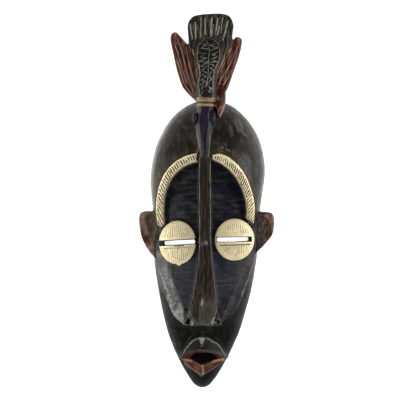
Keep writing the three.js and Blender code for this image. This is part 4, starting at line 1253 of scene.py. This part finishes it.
class BIRD_MASK_OT_eye_plates(bpy.types.Operator):
    """Set the domed brass plates on the eyes and cut their slits"""

    bl_idname = "bird_mask.eye_plates"
    bl_label = "Set the eye plates"

    def execute(self, context):
        sizes, finish = context.scene.mask_carving, brass_finish(context)
        left = eye_sheet("left_eye_upper_brass", LEFT_EYE, sizes)
        right = eye_sheet("right_eye_brass", RIGHT_EYE, sizes)
        cut_slit(left, LEFT_EYE)
        cut_slit(right, RIGHT_EYE)
        select_only(left)
        bpy.ops.mesh.separate(type="LOOSE")
        halves = sorted(bpy.context.selected_objects, key=lambda half: -points_of(half)[:, 1].mean())
        if len(halves) != 2:
            raise RuntimeError(f"the left slit left {len(halves)} pieces of brass, not 2")
        pieces = {
            "left_eye_upper_plate": (halves[0], LEFT_EYE, "left_eye_upper_brass"),
            "left_eye_lower_plate": (halves[1], LEFT_EYE, "left_eye_lower_brass"),
            "right_eye_plate": (right, RIGHT_EYE, "right_eye_brass"),
        }
        for sheet, _, _ in pieces.values():
            sheet.name = sheet.data.name = "sheet"
        for node, (sheet, eye, name) in pieces.items():
            emboss_eye(sheet, eye, sizes)
            sheet.name = sheet.data.name = name
            finish_sheet(sheet, finish)
            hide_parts(node)
        return {"FINISHED"}


class BIRD_MASK_OT_stage(bpy.types.Operator):
    """Put down the floor, and set up the camera and the lights"""

    bl_idname = "bird_mask.stage"
    bl_label = "Set the stage"

    def execute(self, context):
        stage = context.scene.mask_stage
        select_only()
        bpy.ops.mesh.primitive_grid_add(x_subdivisions=8, y_subdivisions=8, size=8, location=(0, 0, -0.0002))
        floor = bpy.context.object
        floor.name = floor.data.name = "floor"
        floor.data.materials.append(white_floor(stage.floor_glow, stage.backlight))
        camera = bpy.data.objects.new("camera", bpy.data.cameras.new("camera"))
        context.collection.objects.link(camera)
        camera.location = CAMERA_PLACE
        camera.rotation_euler = (0, 0, CAMERA_ROLL)
        camera.data.sensor_width = 36
        camera.data.lens = CAMERA_LENS
        context.scene.camera = camera
        for name, place, size in LIGHTS:
            self.light(name, place, size, getattr(stage, name))
        world = bpy.data.worlds.new("studio")
        world.use_nodes = True
        sky = world.node_tree.nodes["Background"].inputs
        sky["Color"].default_value = (1, 1, 1, 1)
        sky["Strength"].default_value = WORLD_LIGHT
        context.scene.world = world
        context.scene.view_settings.view_transform = "Standard"
        return {"FINISHED"}

    def light(self, name, place, size, power):
        lamp = bpy.data.objects.new(name, bpy.data.lights.new(name, "AREA"))
        bpy.context.collection.objects.link(lamp)
        lamp.location = place
        lamp.rotation_euler = (-Vector(place)).to_track_quat("-Z", "Y").to_euler()
        lamp.data.size = size
        lamp.data.energy = power


STEPS = (BIRD_MASK_OT_stage, BIRD_MASK_OT_carve, BIRD_MASK_OT_brow_bands, BIRD_MASK_OT_eye_plates)
SETTINGS = {"mask_carving": CarvingSettings, "mask_paint": PaintSettings, "mask_stage": StageSettings}


class BIRD_MASK_PT_panel(bpy.types.Panel):
    """The mask's steps and settings"""

    bl_idname = "BIRD_MASK_PT_panel"
    bl_label = "Bird Mask"
    bl_space_type = "VIEW_3D"
    bl_region_type = "UI"
    bl_category = "Bird Mask"

    def draw(self, context):
        for step in STEPS:
            self.layout.operator(step.bl_idname)
        for name, group in SETTINGS.items():
            box = self.layout.box()
            for setting in group.__annotations__:
                box.prop(getattr(context.scene, name), setting)


CLASSES = (*SETTINGS.values(), *STEPS, BIRD_MASK_PT_panel)


def register():
    for each in CLASSES:
        bpy.utils.register_class(each)
    for name, group in SETTINGS.items():
        setattr(bpy.types.Scene, name, bpy.props.PointerProperty(type=group))


def unregister():
    for name in SETTINGS:
        delattr(bpy.types.Scene, name)
    for each in reversed(CLASSES):
        bpy.utils.unregister_class(each)


def main():
    register()
    bpy.ops.bird_mask.stage()
    bpy.ops.bird_mask.carve()
    bpy.ops.bird_mask.brow_bands()
    bpy.ops.bird_mask.eye_plates()


if __name__ == "__main__":
    main()
